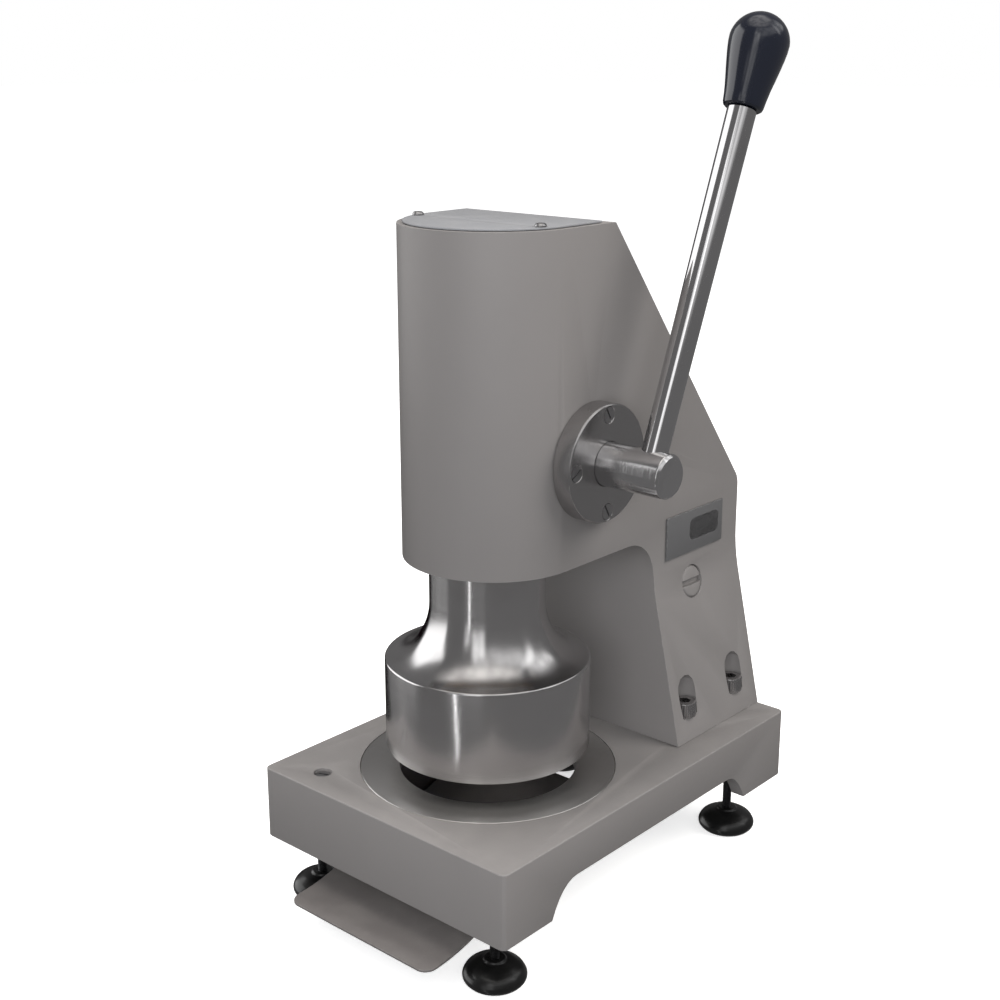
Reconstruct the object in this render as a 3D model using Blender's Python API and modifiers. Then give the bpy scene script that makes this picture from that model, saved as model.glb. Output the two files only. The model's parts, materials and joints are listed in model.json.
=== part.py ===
"""Hand-lever bench punch press that cuts round samples from sheet.

Metres, +Z up, front towards -Y, lever on the right (+X). The origin is the middle of the
bounding box on the floor. Shapes are placed from the ram's axis, which stands at RAM_X, RAM_Y.
"""
import math

import bmesh
import bpy
from mathutils import Matrix, Vector

MM = 0.001
GAP = 0.3 * MM          # between faces that touch on the real press

# ---- driving dimensions, from the ram's axis (x, y) and from the floor (z) ----
RAM_X = -8.0 * MM
RAM_Y = -37.0 * MM

BASE_HALF = 102.0 * MM
BASE_FRONT = -100.5 * MM
BASE_BACK = 194.0 * MM
BASE_LOW = 40.0 * MM
BASE_TOP = 88.0 * MM
BASE_PLATE = 14.0 * MM
BASE_WALL = 10.0 * MM
SIDE_CUT_TOP = 61.0 * MM
BOSS_RADIUS = 13.0 * MM
BOSS_LOW = 52.0 * MM
DROP_RADIUS = 66.0 * MM

HEAD_HALF = 57.0 * MM
NOSE_Y = 6.0 * MM
HEAD_LOW = 228.5 * MM
HEAD_TOP = 433.0 * MM
HEAD_FLOOR = 252.0 * MM
HEAD_BACK = 50.0 * MM
COLUMN_FRONT = 97.0 * MM
COLUMN_BACK = 193.7 * MM
COLUMN_SHOULDER = 248.0 * MM
THROAT_RADIUS = 27.0 * MM
FLARE_TOP = 198.0 * MM
FOOT_HALF = 81.0 * MM
WALL = 10.0 * MM
COVER_THICK = 1.2 * MM

BELL_RADIUS = 65.0 * MM
BELL_LOW = 104.5 * MM
BELL_RIM = 163.0 * MM
CUP_RADIUS = 57.0 * MM
CUP_CEILING = 144.5 * MM
NECK_RADIUS = 36.5 * MM
NECK_START = 199.0 * MM
NECK_TOP = 262.0 * MM
NECK_BUSH_RADIUS = 41.0 * MM
SPIGOT_RADIUS = 12.0 * MM
SPIGOT_LOW = 196.0 * MM
BLADE_RADIUS = 56.4 * MM
BLADE_DROP = 3.0 * MM
DIE_RADIUS = 82.0 * MM
DIE_BORE = 56.6 * MM
DIE_THICK = 8.0 * MM

ROD_RADIUS = 19.0 * MM
ROD_TOP = 404.0 * MM
THREAD_RADIUS = 10.0 * MM
SHAFT_Y = 30.0 * MM
SHAFT_Z = 293.0 * MM
SHAFT_RADIUS = 13.5 * MM
JOURNAL_RADIUS = 10.0 * MM
SHAFT_END = 115.5 * MM
GEAR_MODULE = 2.0 * MM
PINION_TEETH = 17
PRESSURE_ANGLE = math.radians(20.0)
BACKLASH = 0.16 * MM

LEVER_X = 100.0 * MM
LEVER_LEAN = math.radians(22.1)
LEVER_ROOT_RADIUS = 7.9 * MM
LEVER_TIP_RADIUS = 8.8 * MM
LEVER_LENGTH = 220.0 * MM
KNOB_LENGTH = 58.0 * MM
KNOB_RADIUS = 18.0 * MM
FLANGE_RADIUS = 36.3 * MM
FLANGE_THICK = 13.0 * MM

FOOT_X = 75.0 * MM
FOOT_FRONT_Y = -78.0 * MM
FOOT_REAR_Y = 168.5 * MM
FOOT_HEIGHT = 15.5 * MM
STUD_RADIUS = 3.0 * MM
BOLT_X = 72.5 * MM
BOLT_YS = {"front": 115.0 * MM, "rear": 170.0 * MM}
BOLT_SEAT = 103.0 * MM
POCKET_RADIUS = 9.6 * MM
PLUG_RADIUS = 11.0 * MM
PLUG_Y = 138.5 * MM
PLUG_Z = 187.8 * MM

BRIDGE_LOW = 336.0 * MM
BRIDGE_THICK = 12.0 * MM
BRIDGE_SCREW = (40.0 * MM, 8.0 * MM)

CHUTE_HALF = 60.0 * MM
CHUTE_SLOPE = math.radians(15.0)
CHUTE_THICK = 1.6 * MM
CHUTE_LIP_Y = -120.0 * MM
CHUTE_KNEE = (-96.0 * MM, 19.5 * MM)
LIP_SLOPE = 0.06
HANGER_SCREW = (74.0 * MM, 8.0 * MM)

SIDES = {"left": -1, "right": 1}


# ---- materials ----
def make_material(name, colour, roughness, metallic):
    """A plain Principled material."""
    material = bpy.data.materials.new(name)
    material.use_nodes = True
    shader = material.node_tree.nodes["Principled BSDF"]
    shader.inputs["Base Color"].default_value = (*colour, 1.0)
    shader.inputs["Roughness"].default_value = roughness
    shader.inputs["Metallic"].default_value = metallic
    return material


def make_materials():
    """Every material of the press by its short name."""
    return {
        "paint": make_material("grey_paint", (0.21, 0.20, 0.20), 0.45, 0.0),
        "cover": make_material("cover_paint", (0.42, 0.42, 0.43), 0.4, 0.0),
        "polished": make_material("polished_steel", (0.62, 0.61, 0.60), 0.15, 1.0),
        "steel": make_material("machined_steel", (0.45, 0.45, 0.46), 0.35, 1.0),
        "bronze": make_material("bronze", (0.55, 0.36, 0.18), 0.35, 1.0),
        "rubber": make_material("black_rubber", (0.02, 0.02, 0.02), 0.8, 0.0),
        "knob": make_material("black_plastic", (0.012, 0.013, 0.018), 0.15, 0.0),
        "spring": make_material("spring_steel", (0.25, 0.25, 0.27), 0.3, 1.0),
        "plate": make_material("nameplate", (0.13, 0.13, 0.13), 0.4, 0.6),
    }


# ---- shape helpers: every one returns a linked object ----
def link(name, mesh):
    """Put a mesh into the press's collection under a node name."""
    thing = bpy.data.objects.new(name, mesh)
    bpy.data.collections["punch_press"].objects.link(thing)
    return thing


def bake(thing):
    """Turn an object with its modifiers into a plain closed mesh in world space."""
    bpy.context.view_layer.update()
    evaluated = thing.evaluated_get(bpy.context.evaluated_depsgraph_get())
    mesh = bpy.data.meshes.new_from_object(evaluated)
    mesh.transform(thing.matrix_world)
    cleaned = bmesh.new()
    cleaned.from_mesh(mesh)
    bmesh.ops.remove_doubles(cleaned, verts=cleaned.verts, dist=0.002 * MM)
    bmesh.ops.recalc_face_normals(cleaned, faces=cleaned.faces)
    cleaned.to_mesh(mesh)
    cleaned.free()
    name = thing.name
    bpy.data.objects.remove(thing)
    return link(name, mesh)


def cylinder(name, radius, low, high, centre=(0.0, 0.0), axis="Z", segments=32, tip_radius=None):
    """A cylinder or cone along an axis; centre is its place in the other two axes, in order."""
    shape = bmesh.new()
    tip = radius if tip_radius is None else tip_radius
    bmesh.ops.create_cone(shape, cap_ends=True, segments=segments, radius1=radius, radius2=tip,
                          depth=high - low)
    middle = (low + high) / 2
    turn = {"Z": Matrix.Identity(4),
            "X": Matrix.Rotation(math.pi / 2, 4, "Y"),
            "Y": Matrix.Rotation(-math.pi / 2, 4, "X")}[axis]
    place = {"Z": (centre[0], centre[1], middle),
             "X": (middle, centre[0], centre[1]),
             "Y": (centre[0], middle, centre[1])}[axis]
    bmesh.ops.transform(shape, matrix=Matrix.Translation(place) @ turn, verts=shape.verts)
    mesh = bpy.data.meshes.new(name)
    shape.to_mesh(mesh)
    shape.free()
    return link(name, mesh)


def box(name, low, high):
    """A box between two corners."""
    shape = bmesh.new()
    bmesh.ops.create_cube(shape, size=1.0)
    size = Vector(high) - Vector(low)
    middle = (Vector(high) + Vector(low)) / 2
    matrix = Matrix.Translation(middle) @ Matrix.Diagonal((*size, 1.0))
    bmesh.ops.transform(shape, matrix=matrix, verts=shape.verts)
    mesh = bpy.data.meshes.new(name)
    shape.to_mesh(mesh)
    shape.free()
    return link(name, mesh)


def extruded(name, outlines, axis, low, high):
    """A flat outline pushed along an axis. X takes (y, z) points, Y takes (x, z), Z takes (x, y)."""
    curve = bpy.data.curves.new(name, "CURVE")
    curve.dimensions = "2D"
    curve.fill_mode = "BOTH"
    curve.extrude = (high - low) / 2
    for outline in outlines:
        spline = curve.splines.new("POLY")
        spline.points.add(len(outline) - 1)
        for point, (u, v) in zip(spline.points, outline):
            point.co = (u, v, 0.0, 1.0)
        spline.use_cyclic_u = True
    thing = link(name, curve)
    middle = (high + low) / 2
    thing.matrix_world = {
        "Z": Matrix.Translation((0, 0, middle)),
        "X": Matrix(((0, 0, 1, middle), (1, 0, 0, 0), (0, 1, 0, 0), (0, 0, 0, 1))),
        "Y": Matrix(((1, 0, 0, 0), (0, 0, -1, middle), (0, 1, 0, 0), (0, 0, 0, 1))),
    }[axis]
    return bake(thing)


def turned(name, profile, segments=48, closed=False):
    """A profile of (radius, z) points, top to bottom on its outer side, spun about the Z axis."""
    mesh = bpy.data.meshes.new(name)
    edges = [(i, i + 1) for i in range(len(profile) - 1)]
    if closed:
        edges.append((len(profile) - 1, 0))
    mesh.from_pydata([(radius, 0.0, z) for radius, z in profile], edges, [])
    thing = link(name, mesh)
    spin = thing.modifiers.new("spin", "SCREW")
    spin.axis = "Z"
    spin.steps = segments
    spin.render_steps = segments
    spin.use_merge_vertices = True
    spin.merge_threshold = 0.01 * MM
    return bake(thing)


def ring(name, outer, inner, low, high, segments=48):
    """A plain ring about the Z axis."""
    return turned(name, [(outer, high), (outer, low), (inner, low), (inner, high)], segments, True)


def coil(name, radius, wire, low, high, turns, steps=14):
    """A round-wire helix about the Z axis."""
    curve = bpy.data.curves.new(name, "CURVE")
    curve.dimensions = "3D"
    curve.bevel_depth = wire / 2
    curve.bevel_resolution = 1
    curve.use_fill_caps = True
    count = int(turns * steps) + 1
    spline = curve.splines.new("POLY")
    spline.points.add(count - 1)
    start = low + wire / 2
    rise = high - low - wire
    for index, point in enumerate(spline.points):
        angle = index / steps * math.tau
        height = start + rise * index / (count - 1)
        point.co = (radius * math.cos(angle), radius * math.sin(angle), height, 1.0)
    return bake(link(name, curve))


def cut(target, tool, operation="DIFFERENCE"):
    """Apply one exact Boolean and drop the tool."""
    name = target.name
    modifier = target.modifiers.new("cut", "BOOLEAN")
    modifier.operation = operation
    modifier.solver = "EXACT"
    modifier.object = tool
    result = bake(target)
    bpy.data.objects.remove(tool)
    result.name = name
    return result


def join(target, tool):
    """Union a tool into the target."""
    return cut(target, tool, "UNION")


def overlap(target, tool):
    """Keep only what the target shares with the tool."""
    return cut(target, tool, "INTERSECT")


def rounded(thing, width, angle=30.0, segments=1):
    """Bevel the sharp edges of a finished shape."""
    modifier = thing.modifiers.new("edges", "BEVEL")
    modifier.width = width
    modifier.segments = segments
    modifier.limit_method = "ANGLE"
    modifier.angle_limit = math.radians(angle)
    return bake(thing)


def moved(thing, matrix):
    """Move a shape's mesh by a matrix."""
    thing.data.transform(matrix)
    return thing


def arc(centre, radius, start, end, steps):
    """Points on an arc, angles in degrees."""
    points = []
    for index in range(steps + 1):
        angle = math.radians(start + (end - start) * index / steps)
        points.append((centre[0] + radius * math.cos(angle), centre[1] + radius * math.sin(angle)))
    return points


def bezier(start, control, end, steps):
    """Points on a quadratic curve, without its first point."""
    points = []
    for index in range(1, steps + 1):
        t = index / steps
        points.append(tuple((1 - t) ** 2 * a + 2 * t * (1 - t) * b + t * t * c
                            for a, b, c in zip(start, control, end)))
    return points


def nose_outline(radius, back):
    """Plan of the head: a half-round nose with straight sides back to a line."""
    return arc((0.0, NOSE_Y), radius, 180, 360, 24) + [(radius, back), (-radius, back)]


# ---- the base ----
def side_cut_outline(lift=0.0):
    """The opening under each long side of the base, as (y, z) points."""
    front, rear = -58.0 * MM, 147.0 * MM
    low, high = BASE_LOW - lift, SIDE_CUT_TOP
    front_curve = bezier((front, BASE_LOW), (front + 9 * MM, high), (front + 23 * MM, high), 6)
    rear_curve = bezier((rear - 22 * MM, high), (rear - 10 * MM, high), (rear, BASE_LOW), 6)
    top = front_curve + [(rear - 22 * MM, high)] + rear_curve
    return [(front, low), (front, BASE_LOW)] + top + [(rear, low)]


def make_base():
    """Hollow base: top plate, skirts, foot bosses and the seat of the die plate."""
    corner = 4 * MM
    plan = (arc((BASE_HALF - corner, BASE_BACK - corner), corner, 0, 90, 3)
            + arc((-BASE_HALF + corner, BASE_BACK - corner), corner, 90, 180, 3)
            + arc((-BASE_HALF + corner, BASE_FRONT + corner), corner, 180, 270, 3)
            + arc((BASE_HALF - corner, BASE_FRONT + corner), corner, 270, 360, 3))
    base = extruded("base_casting", [plan], "Z", BASE_LOW, BASE_TOP)
    base = rounded(base, 1.5 * MM, 60.0)
    inside = (BASE_HALF - BASE_WALL, BASE_FRONT + BASE_WALL, BASE_BACK - BASE_WALL)
    base = cut(base, box("hollow", (-inside[0], inside[1], BASE_LOW - 10 * MM),
                         (inside[0], inside[2], BASE_TOP - BASE_PLATE)))
    reach = BASE_HALF + 20 * MM
    base = cut(base, extruded("side_cut", [side_cut_outline(10 * MM)], "X", -reach, reach))
    boss_top = BASE_TOP - BASE_PLATE + 1 * MM
    hole = STUD_RADIUS + 0.4 * MM
    for place in foot_places().values():
        base = join(base, cylinder("boss", BOSS_RADIUS, BOSS_LOW, boss_top, place, segments=20))
        base = cut(base, cylinder("stud_hole", hole, BOSS_LOW - 7 * MM, 71.5 * MM, place, segments=20))
    above = BASE_TOP + 12 * MM
    seat = BASE_TOP - DIE_THICK - GAP
    base = cut(base, cylinder("die_seat", DIE_RADIUS + GAP, seat, above, segments=48))
    base = cut(base, cylinder("drop_hole", DROP_RADIUS, 60 * MM, above, segments=40))
    for place in die_screw_places().values():
        base = cut(base, cylinder("die_screw_hole", 3.3 * MM, 60 * MM, 85 * MM, place, segments=12))
    for side in SIDES.values():
        for y in BOLT_YS.values():
            place = (side * BOLT_X, y)
            base = cut(base, cylinder("bolt_hole", 5.3 * MM, 76 * MM, 90 * MM, place, segments=16))
        hanger = (side * HANGER_SCREW[0], HANGER_SCREW[1])
        base = cut(base, cylinder("hanger_hole", 2.3 * MM, 70 * MM, 82 * MM, hanger, segments=12))
    place = base_screw_place()
    sink = cylinder("screw_sink", 6 * MM, BASE_TOP - 3.5 * MM, BASE_TOP + 5 * MM, place, segments=20)
    base = cut(base, sink)
    return cut(base, cylinder("screw_hole", 3.2 * MM, 70 * MM, BASE_TOP, place, segments=14))


def foot_places():
    """Where the four levelling feet stand."""
    return {
        "front_left": (-FOOT_X, FOOT_FRONT_Y),
        "front_right": (FOOT_X, FOOT_FRONT_Y),
        "rear_left": (-FOOT_X, FOOT_REAR_Y),
        "rear_right": (FOOT_X, FOOT_REAR_Y),
    }


def base_screw_place():
    """The small screw in the top of the base at the front left."""
    return (-68 * MM, -81 * MM)


def die_screw_places():
    """Four screws that pull the die plate down from below."""
    reach = 73.5 * MM
    angles = {"front_left": 235, "front_right": 305, "rear_left": 125, "rear_right": 55}
    return {name: (reach * math.cos(math.radians(a)), reach * math.sin(math.radians(a)))
            for name, a in angles.items()}


def make_base_fittings(parts):
    """Die plate and its screws, feet, and the small screw in the base top."""
    die = ring("die_plate", DIE_RADIUS, DIE_BORE, BASE_TOP - DIE_THICK, BASE_TOP, 56)
    for place in die_screw_places().values():
        die = cut(die, cylinder("tap", 3.3 * MM, 70 * MM, 85.5 * MM, place, segments=12))
    parts["die_plate"] = ("polished", die)
    under = BASE_TOP - BASE_PLATE - GAP
    for name, place in die_screw_places().items():
        length = BASE_TOP - 3 * MM - under
        screw = socket_screw("die_screw_" + name, 3 * MM, 5 * MM, 6 * MM, under, length, place, -1)
        parts["die_screw_" + name] = ("steel", screw)
    for name, place in foot_places().items():
        parts["foot_pad_" + name] = ("knob", make_foot_pad("foot_pad_" + name, place))
        parts["foot_stud_" + name] = ("steel", make_foot_stud("foot_stud_" + name, place))
    parts["base_screw"] = ("steel", make_base_screw())


def make_foot_pad(name, place):
    """Moulded mushroom pad, flat below, with a hole for its stud."""
    hole = STUD_RADIUS + GAP
    profile = [(hole, FOOT_HEIGHT), (7.0 * MM, FOOT_HEIGHT)]
    profile += [(7 * MM + 12.5 * MM * math.sin(t), FOOT_HEIGHT - 9 * MM * (1 - math.cos(t)))
                for t in (math.radians(a) for a in (30, 60, 90))]
    profile += [(19.2 * MM, 3.0 * MM), (16.5 * MM, 0.0), (0.0, 0.0)]
    hole_floor = 6 * MM
    profile = [(0.0, hole_floor), (hole, hole_floor)] + profile
    return moved(turned(name, profile, 24), Matrix.Translation((*place, 0.0)))


def make_foot_stud(name, place):
    """Threaded stud from the pad up into the base's boss."""
    return cylinder(name, STUD_RADIUS, 6.3 * MM, 70 * MM, place, segments=16)


def make_base_screw():
    """Small slotted screw in its recess."""
    x, y = base_screw_place()
    top = BASE_TOP - 1.2 * MM
    low = BASE_TOP - 3.2 * MM
    screw = cylinder("base_screw", 5.5 * MM, low, top, (x, y), segments=20)
    screw = join(screw, cylinder("shank", 2.9 * MM, 74.5 * MM, low + 1 * MM, (x, y), segments=14))
    slot = box("slot", (x - 8 * MM, y - 0.6 * MM, top - 1.1 * MM),
               (x + 8 * MM, y + 0.6 * MM, top + 1 * MM))
    return cut(screw, slot)


def socket_screw(name, shank, head, height, seat, length, place, up=1, segments=16):
    """Cap screw on a seat at z: the head goes up (or down) from it and the shank the other way."""
    x, y = place
    low, high = sorted((seat, seat + up * height))
    screw = cylinder(name, head, low, high, place, segments=segments)
    low, high = sorted((seat + up * 1 * MM, seat - up * length))
    screw = join(screw, cylinder("shank", shank, low, high, place, segments=12))
    low, high = sorted((seat + up * (height + 1 * MM), seat + up * height * 0.45))
    return cut(screw, cylinder("socket", head * 0.55, low, high, (x, y), segments=6))


# ---- the chute ----
def chute_height(y):
    """Height of the chute's upper face at a place along Y."""
    run = y - CHUTE_KNEE[0]
    slope = math.tan(CHUTE_SLOPE) if run > 0.0 else LIP_SLOPE
    return CHUTE_KNEE[1] + run * slope


def make_chute(parts):
    """Bent sheet chute, its two brackets and their screws."""
    back = 58 * MM
    rear = (back, chute_height(back))
    before, after = CHUTE_KNEE[0] + 12 * MM, CHUTE_KNEE[0] - 10 * MM
    top = [rear, (before, chute_height(before))]
    top += bezier(top[-1], CHUTE_KNEE, (after, chute_height(after)), 4)
    top += [(CHUTE_LIP_Y, chute_height(CHUTE_LIP_Y))]
    below = [(y, z - CHUTE_THICK) for y, z in top]
    chute = extruded("catch_chute", [top + below[::-1]], "X", -CHUTE_HALF, CHUTE_HALF)
    corner = 8 * MM
    plan = (arc((CHUTE_HALF - corner, CHUTE_LIP_Y + corner), corner, 270, 360, 5)
            + [(CHUTE_HALF, 80 * MM), (-CHUTE_HALF, 80 * MM)]
            + arc((-CHUTE_HALF + corner, CHUTE_LIP_Y + corner), corner, 180, 270, 5))
    chute = overlap(chute, extruded("chute_plan", [plan], "Z", 0.0, 80 * MM))
    for word, side in SIDES.items():
        chute = cut(chute, chute_hole(side))
        parts["chute_bracket_" + word] = ("steel", make_bracket("chute_bracket_" + word, side))
        parts["chute_screw_" + word] = ("steel", make_chute_screw("chute_screw_" + word, side))
        name = "bracket_screw_" + word
        seat = BASE_TOP - BASE_PLATE - 2.5 * MM - GAP
        hanger = (side * HANGER_SCREW[0], HANGER_SCREW[1])
        length = 80 * MM - seat
        screw = socket_screw(name, 2.0 * MM, 3.5 * MM, 3.0 * MM, seat, length, hanger, -1, 14)
        parts[name] = ("steel", screw)
    parts["catch_chute"] = ("paint", chute)


def make_bracket(name, side):
    """Hanger: flange under the base plate, web down beside the chute, sloping ledge below it."""
    front, back = -42 * MM, 56 * MM
    top = BASE_TOP - BASE_PLATE - GAP

    def under(y):
        return chute_height(y) - CHUTE_THICK - GAP

    below = [(back, under(back) - 2 * MM), (front, under(front) - 2 * MM)]
    web = [(front, top), (back, top)] + below
    ledge = [(front, under(front)), (back, under(back))] + below
    xs = sorted((side * 61 * MM, side * 63 * MM))
    bracket = extruded(name, [web], "X", *xs)
    xs = sorted((side * 50 * MM, side * 62 * MM))
    bracket = join(bracket, extruded("ledge", [ledge], "X", *xs))
    xs = sorted((side * 62 * MM, side * 80 * MM))
    bracket = join(bracket, box("flange", (xs[0], front, top - 2.2 * MM), (xs[1], back, top)))
    hanger = (side * HANGER_SCREW[0], HANGER_SCREW[1])
    bracket = cut(bracket, cylinder("hole", 2.3 * MM, 60 * MM, 80 * MM, hanger, segments=12))
    return cut(bracket, chute_hole(side))


def chute_screw_matrix(side):
    """Carries +Z square to the chute's slope, at its screw."""
    return (Matrix.Translation((side * 56 * MM, 30 * MM, chute_height(30 * MM)))
            @ Matrix.Rotation(CHUTE_SLOPE, 4, "X"))


def chute_hole(side):
    """Clearance hole through the chute and the ledge below it."""
    return moved(cylinder("chute_hole", 2.4 * MM, -12 * MM, 8 * MM, segments=12), chute_screw_matrix(side))


def make_chute_screw(name, side):
    """Pan-head screw square to the sloping ledge."""
    screw = cylinder(name, 4.0 * MM, GAP, 2.6 * MM, segments=16, tip_radius=2.8 * MM)
    screw = join(screw, cylinder("shank", 1.9 * MM, -7 * MM, 1 * MM, segments=12))
    return moved(screw, chute_screw_matrix(side))


# ---- the frame: head and column ----
def frame_side_outline():
    """Side view of head and column as (y, z) points."""
    fillet = arc((COLUMN_FRONT - THROAT_RADIUS, HEAD_LOW - THROAT_RADIUS), THROAT_RADIUS, 0, 90, 6)
    front = NOSE_Y - HEAD_HALF - 10 * MM
    foot = BASE_TOP + GAP
    reach = 5 * MM
    slope = Vector((HEAD_BACK - COLUMN_BACK, HEAD_TOP - COLUMN_SHOULDER)).normalized() * reach
    start = (COLUMN_BACK + slope.x, COLUMN_SHOULDER + slope.y)
    corner = (COLUMN_BACK, COLUMN_SHOULDER)
    shoulder = [start] + bezier(start, corner, (COLUMN_BACK, COLUMN_SHOULDER - reach), 4)
    head = [(front, HEAD_LOW), (front, HEAD_TOP), (HEAD_BACK, HEAD_TOP)]
    return [(COLUMN_FRONT, foot)] + fillet + head + shoulder + [(COLUMN_BACK, foot)]


def frame_front_outline():
    """Front view of head and column as (x, z) points: straight above, flared at the foot."""
    foot = BASE_TOP + GAP
    right = [(HEAD_HALF, HEAD_TOP + 10 * MM), (HEAD_HALF, FLARE_TOP + 14 * MM)]
    right += bezier(right[-1], (HEAD_HALF, FLARE_TOP), (HEAD_HALF + 3.0 * MM, FLARE_TOP - 14 * MM), 4)
    right += [(FOOT_HALF, foot)]
    return right + [(-x, z) for x, z in right[::-1]]


def frame_hollow():
    """The inside of head and column, open at the top of the head and at the foot."""
    inner_back = COLUMN_BACK - WALL
    side = [(-60 * MM, 450 * MM), (-60 * MM, HEAD_FLOOR), (COLUMN_FRONT + WALL, HEAD_FLOOR),
            (COLUMN_FRONT + WALL, 70 * MM), (inner_back, 70 * MM), (inner_back, COLUMN_SHOULDER - 2 * MM),
            (HEAD_BACK - 18 * MM, 435 * MM), (HEAD_BACK - 18 * MM, 450 * MM)]
    half = HEAD_HALF - WALL
    hollow = extruded("hollow", [side], "X", -half, half)
    plan = arc((0.0, NOSE_Y), half, 180, 360, 18) + [(half, 250 * MM), (-half, 250 * MM)]
    return overlap(hollow, extruded("hollow_plan", [plan], "Z", 60 * MM, 460 * MM))


def bolt_pocket(side, y):
    """A cast pocket over a column bolt: a round well with a domed top."""
    profile = [(0.0, 131 * MM)]
    profile += [(POCKET_RADIUS * math.sin(t), 121 * MM + 10 * MM * math.cos(t))
                for t in (math.radians(a) for a in (30, 60, 90))]
    profile += [(POCKET_RADIUS, BOLT_SEAT), (0.0, BOLT_SEAT)]
    return moved(turned("pocket", profile, 20), Matrix.Translation((side * BOLT_X, y, 0.0)))


def side_plug_frame():
    """Matrix that carries +Z onto the outward normal of the flared side at the plug."""
    run = FOOT_HALF - HEAD_HALF - 3 * MM
    rise = FLARE_TOP - 14 * MM - BASE_TOP
    x = HEAD_HALF + 3 * MM + (FLARE_TOP - 14 * MM - PLUG_Z) * run / rise
    tilt = math.atan2(run, rise)
    return Matrix.Translation((x, PLUG_Y, PLUG_Z)) @ Matrix.Rotation(math.pi / 2 - tilt, 4, "Y")


def flange_screw_places():
    """Screws of the right bearing flange, as (y, z)."""
    reach = 29.8 * MM
    return {"top": (SHAFT_Y, SHAFT_Z + reach), "bottom": (SHAFT_Y, SHAFT_Z - reach),
            "front": (SHAFT_Y - reach, SHAFT_Z), "rear": (SHAFT_Y + reach, SHAFT_Z)}


def cap_screw_places():
    """Screws of the left bearing cap, as (y, z)."""
    reach = 23.5 * MM
    return {str(n + 1): (SHAFT_Y + reach * math.sin(math.radians(120 * n)),
                         SHAFT_Z + reach * math.cos(math.radians(120 * n))) for n in range(3)}


def make_frame():
    """The C-shaped casting with its bores, lugs and pockets."""
    reach = 100 * MM
    frame = extruded("frame_casting", [frame_side_outline()], "X", -reach, reach)
    frame = overlap(frame, extruded("front_view", [frame_front_outline()], "Y", -reach, 250 * MM))
    plan = ([(-reach, 260 * MM), (-reach, NOSE_Y)] + arc((0.0, NOSE_Y), HEAD_HALF, 180, 360, 32)
            + [(reach, NOSE_Y), (reach, 260 * MM)])
    frame = overlap(frame, extruded("plan_view", [plan], "Z", 60 * MM, 460 * MM))
    frame = cut(frame, frame_hollow())
    for side in SIDES.values():
        xs = sorted((side * 35 * MM, side * (HEAD_HALF - 4 * MM)))
        lug = box("lug", (xs[0], -8 * MM, BRIDGE_LOW - 14 * MM), (xs[1], 26 * MM, BRIDGE_LOW - GAP))
        frame = join(frame, lug)
        place = bridge_screw_place(side)
        frame = cut(frame, cylinder("lug_hole", 3.2 * MM, 318 * MM, 345 * MM, place, segments=14))
        place = cover_screw_place(side)
        frame = cut(frame, cylinder("cover_hole", 2.1 * MM, 418 * MM, 440 * MM, place, segments=12))
        for y in BOLT_YS.values():
            frame = cut(frame, bolt_pocket(side, y))
            place = (side * BOLT_X, y)
            frame = cut(frame, cylinder("bolt_hole", 5.4 * MM, 80 * MM, 110 * MM, place, segments=16))
    neck_bore = cylinder("neck_bore", NECK_BUSH_RADIUS + GAP, 220 * MM, 260 * MM, segments=48)
    frame = cut(frame, neck_bore)
    axis = (SHAFT_Y, SHAFT_Z)
    frame = cut(frame, cylinder("right_bore", 25.3 * MM, 40 * MM, 62 * MM, axis, "X", 36))
    frame = cut(frame, cylinder("left_bore", 20.3 * MM, -62 * MM, -40 * MM, axis, "X", 32))
    for place in flange_screw_places().values():
        frame = cut(frame, cylinder("tap", 2.8 * MM, 44 * MM, 62 * MM, place, "X", 12))
    for place in cap_screw_places().values():
        frame = cut(frame, cylinder("tap", 2.3 * MM, -62 * MM, -44 * MM, place, "X", 12))
    plug_bore = cylinder("plug_bore", PLUG_RADIUS + GAP, -25 * MM, 5 * MM, segments=24)
    return cut(frame, moved(plug_bore, side_plug_frame()))


def cover_screw_place(side):
    """One of the two screws of the top cover."""
    return (side * 48.0 * MM, -8.0 * MM)


def bridge_screw_place(side):
    """One of the two screws of the guide bridge."""
    return (side * BRIDGE_SCREW[0], BRIDGE_SCREW[1])


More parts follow.
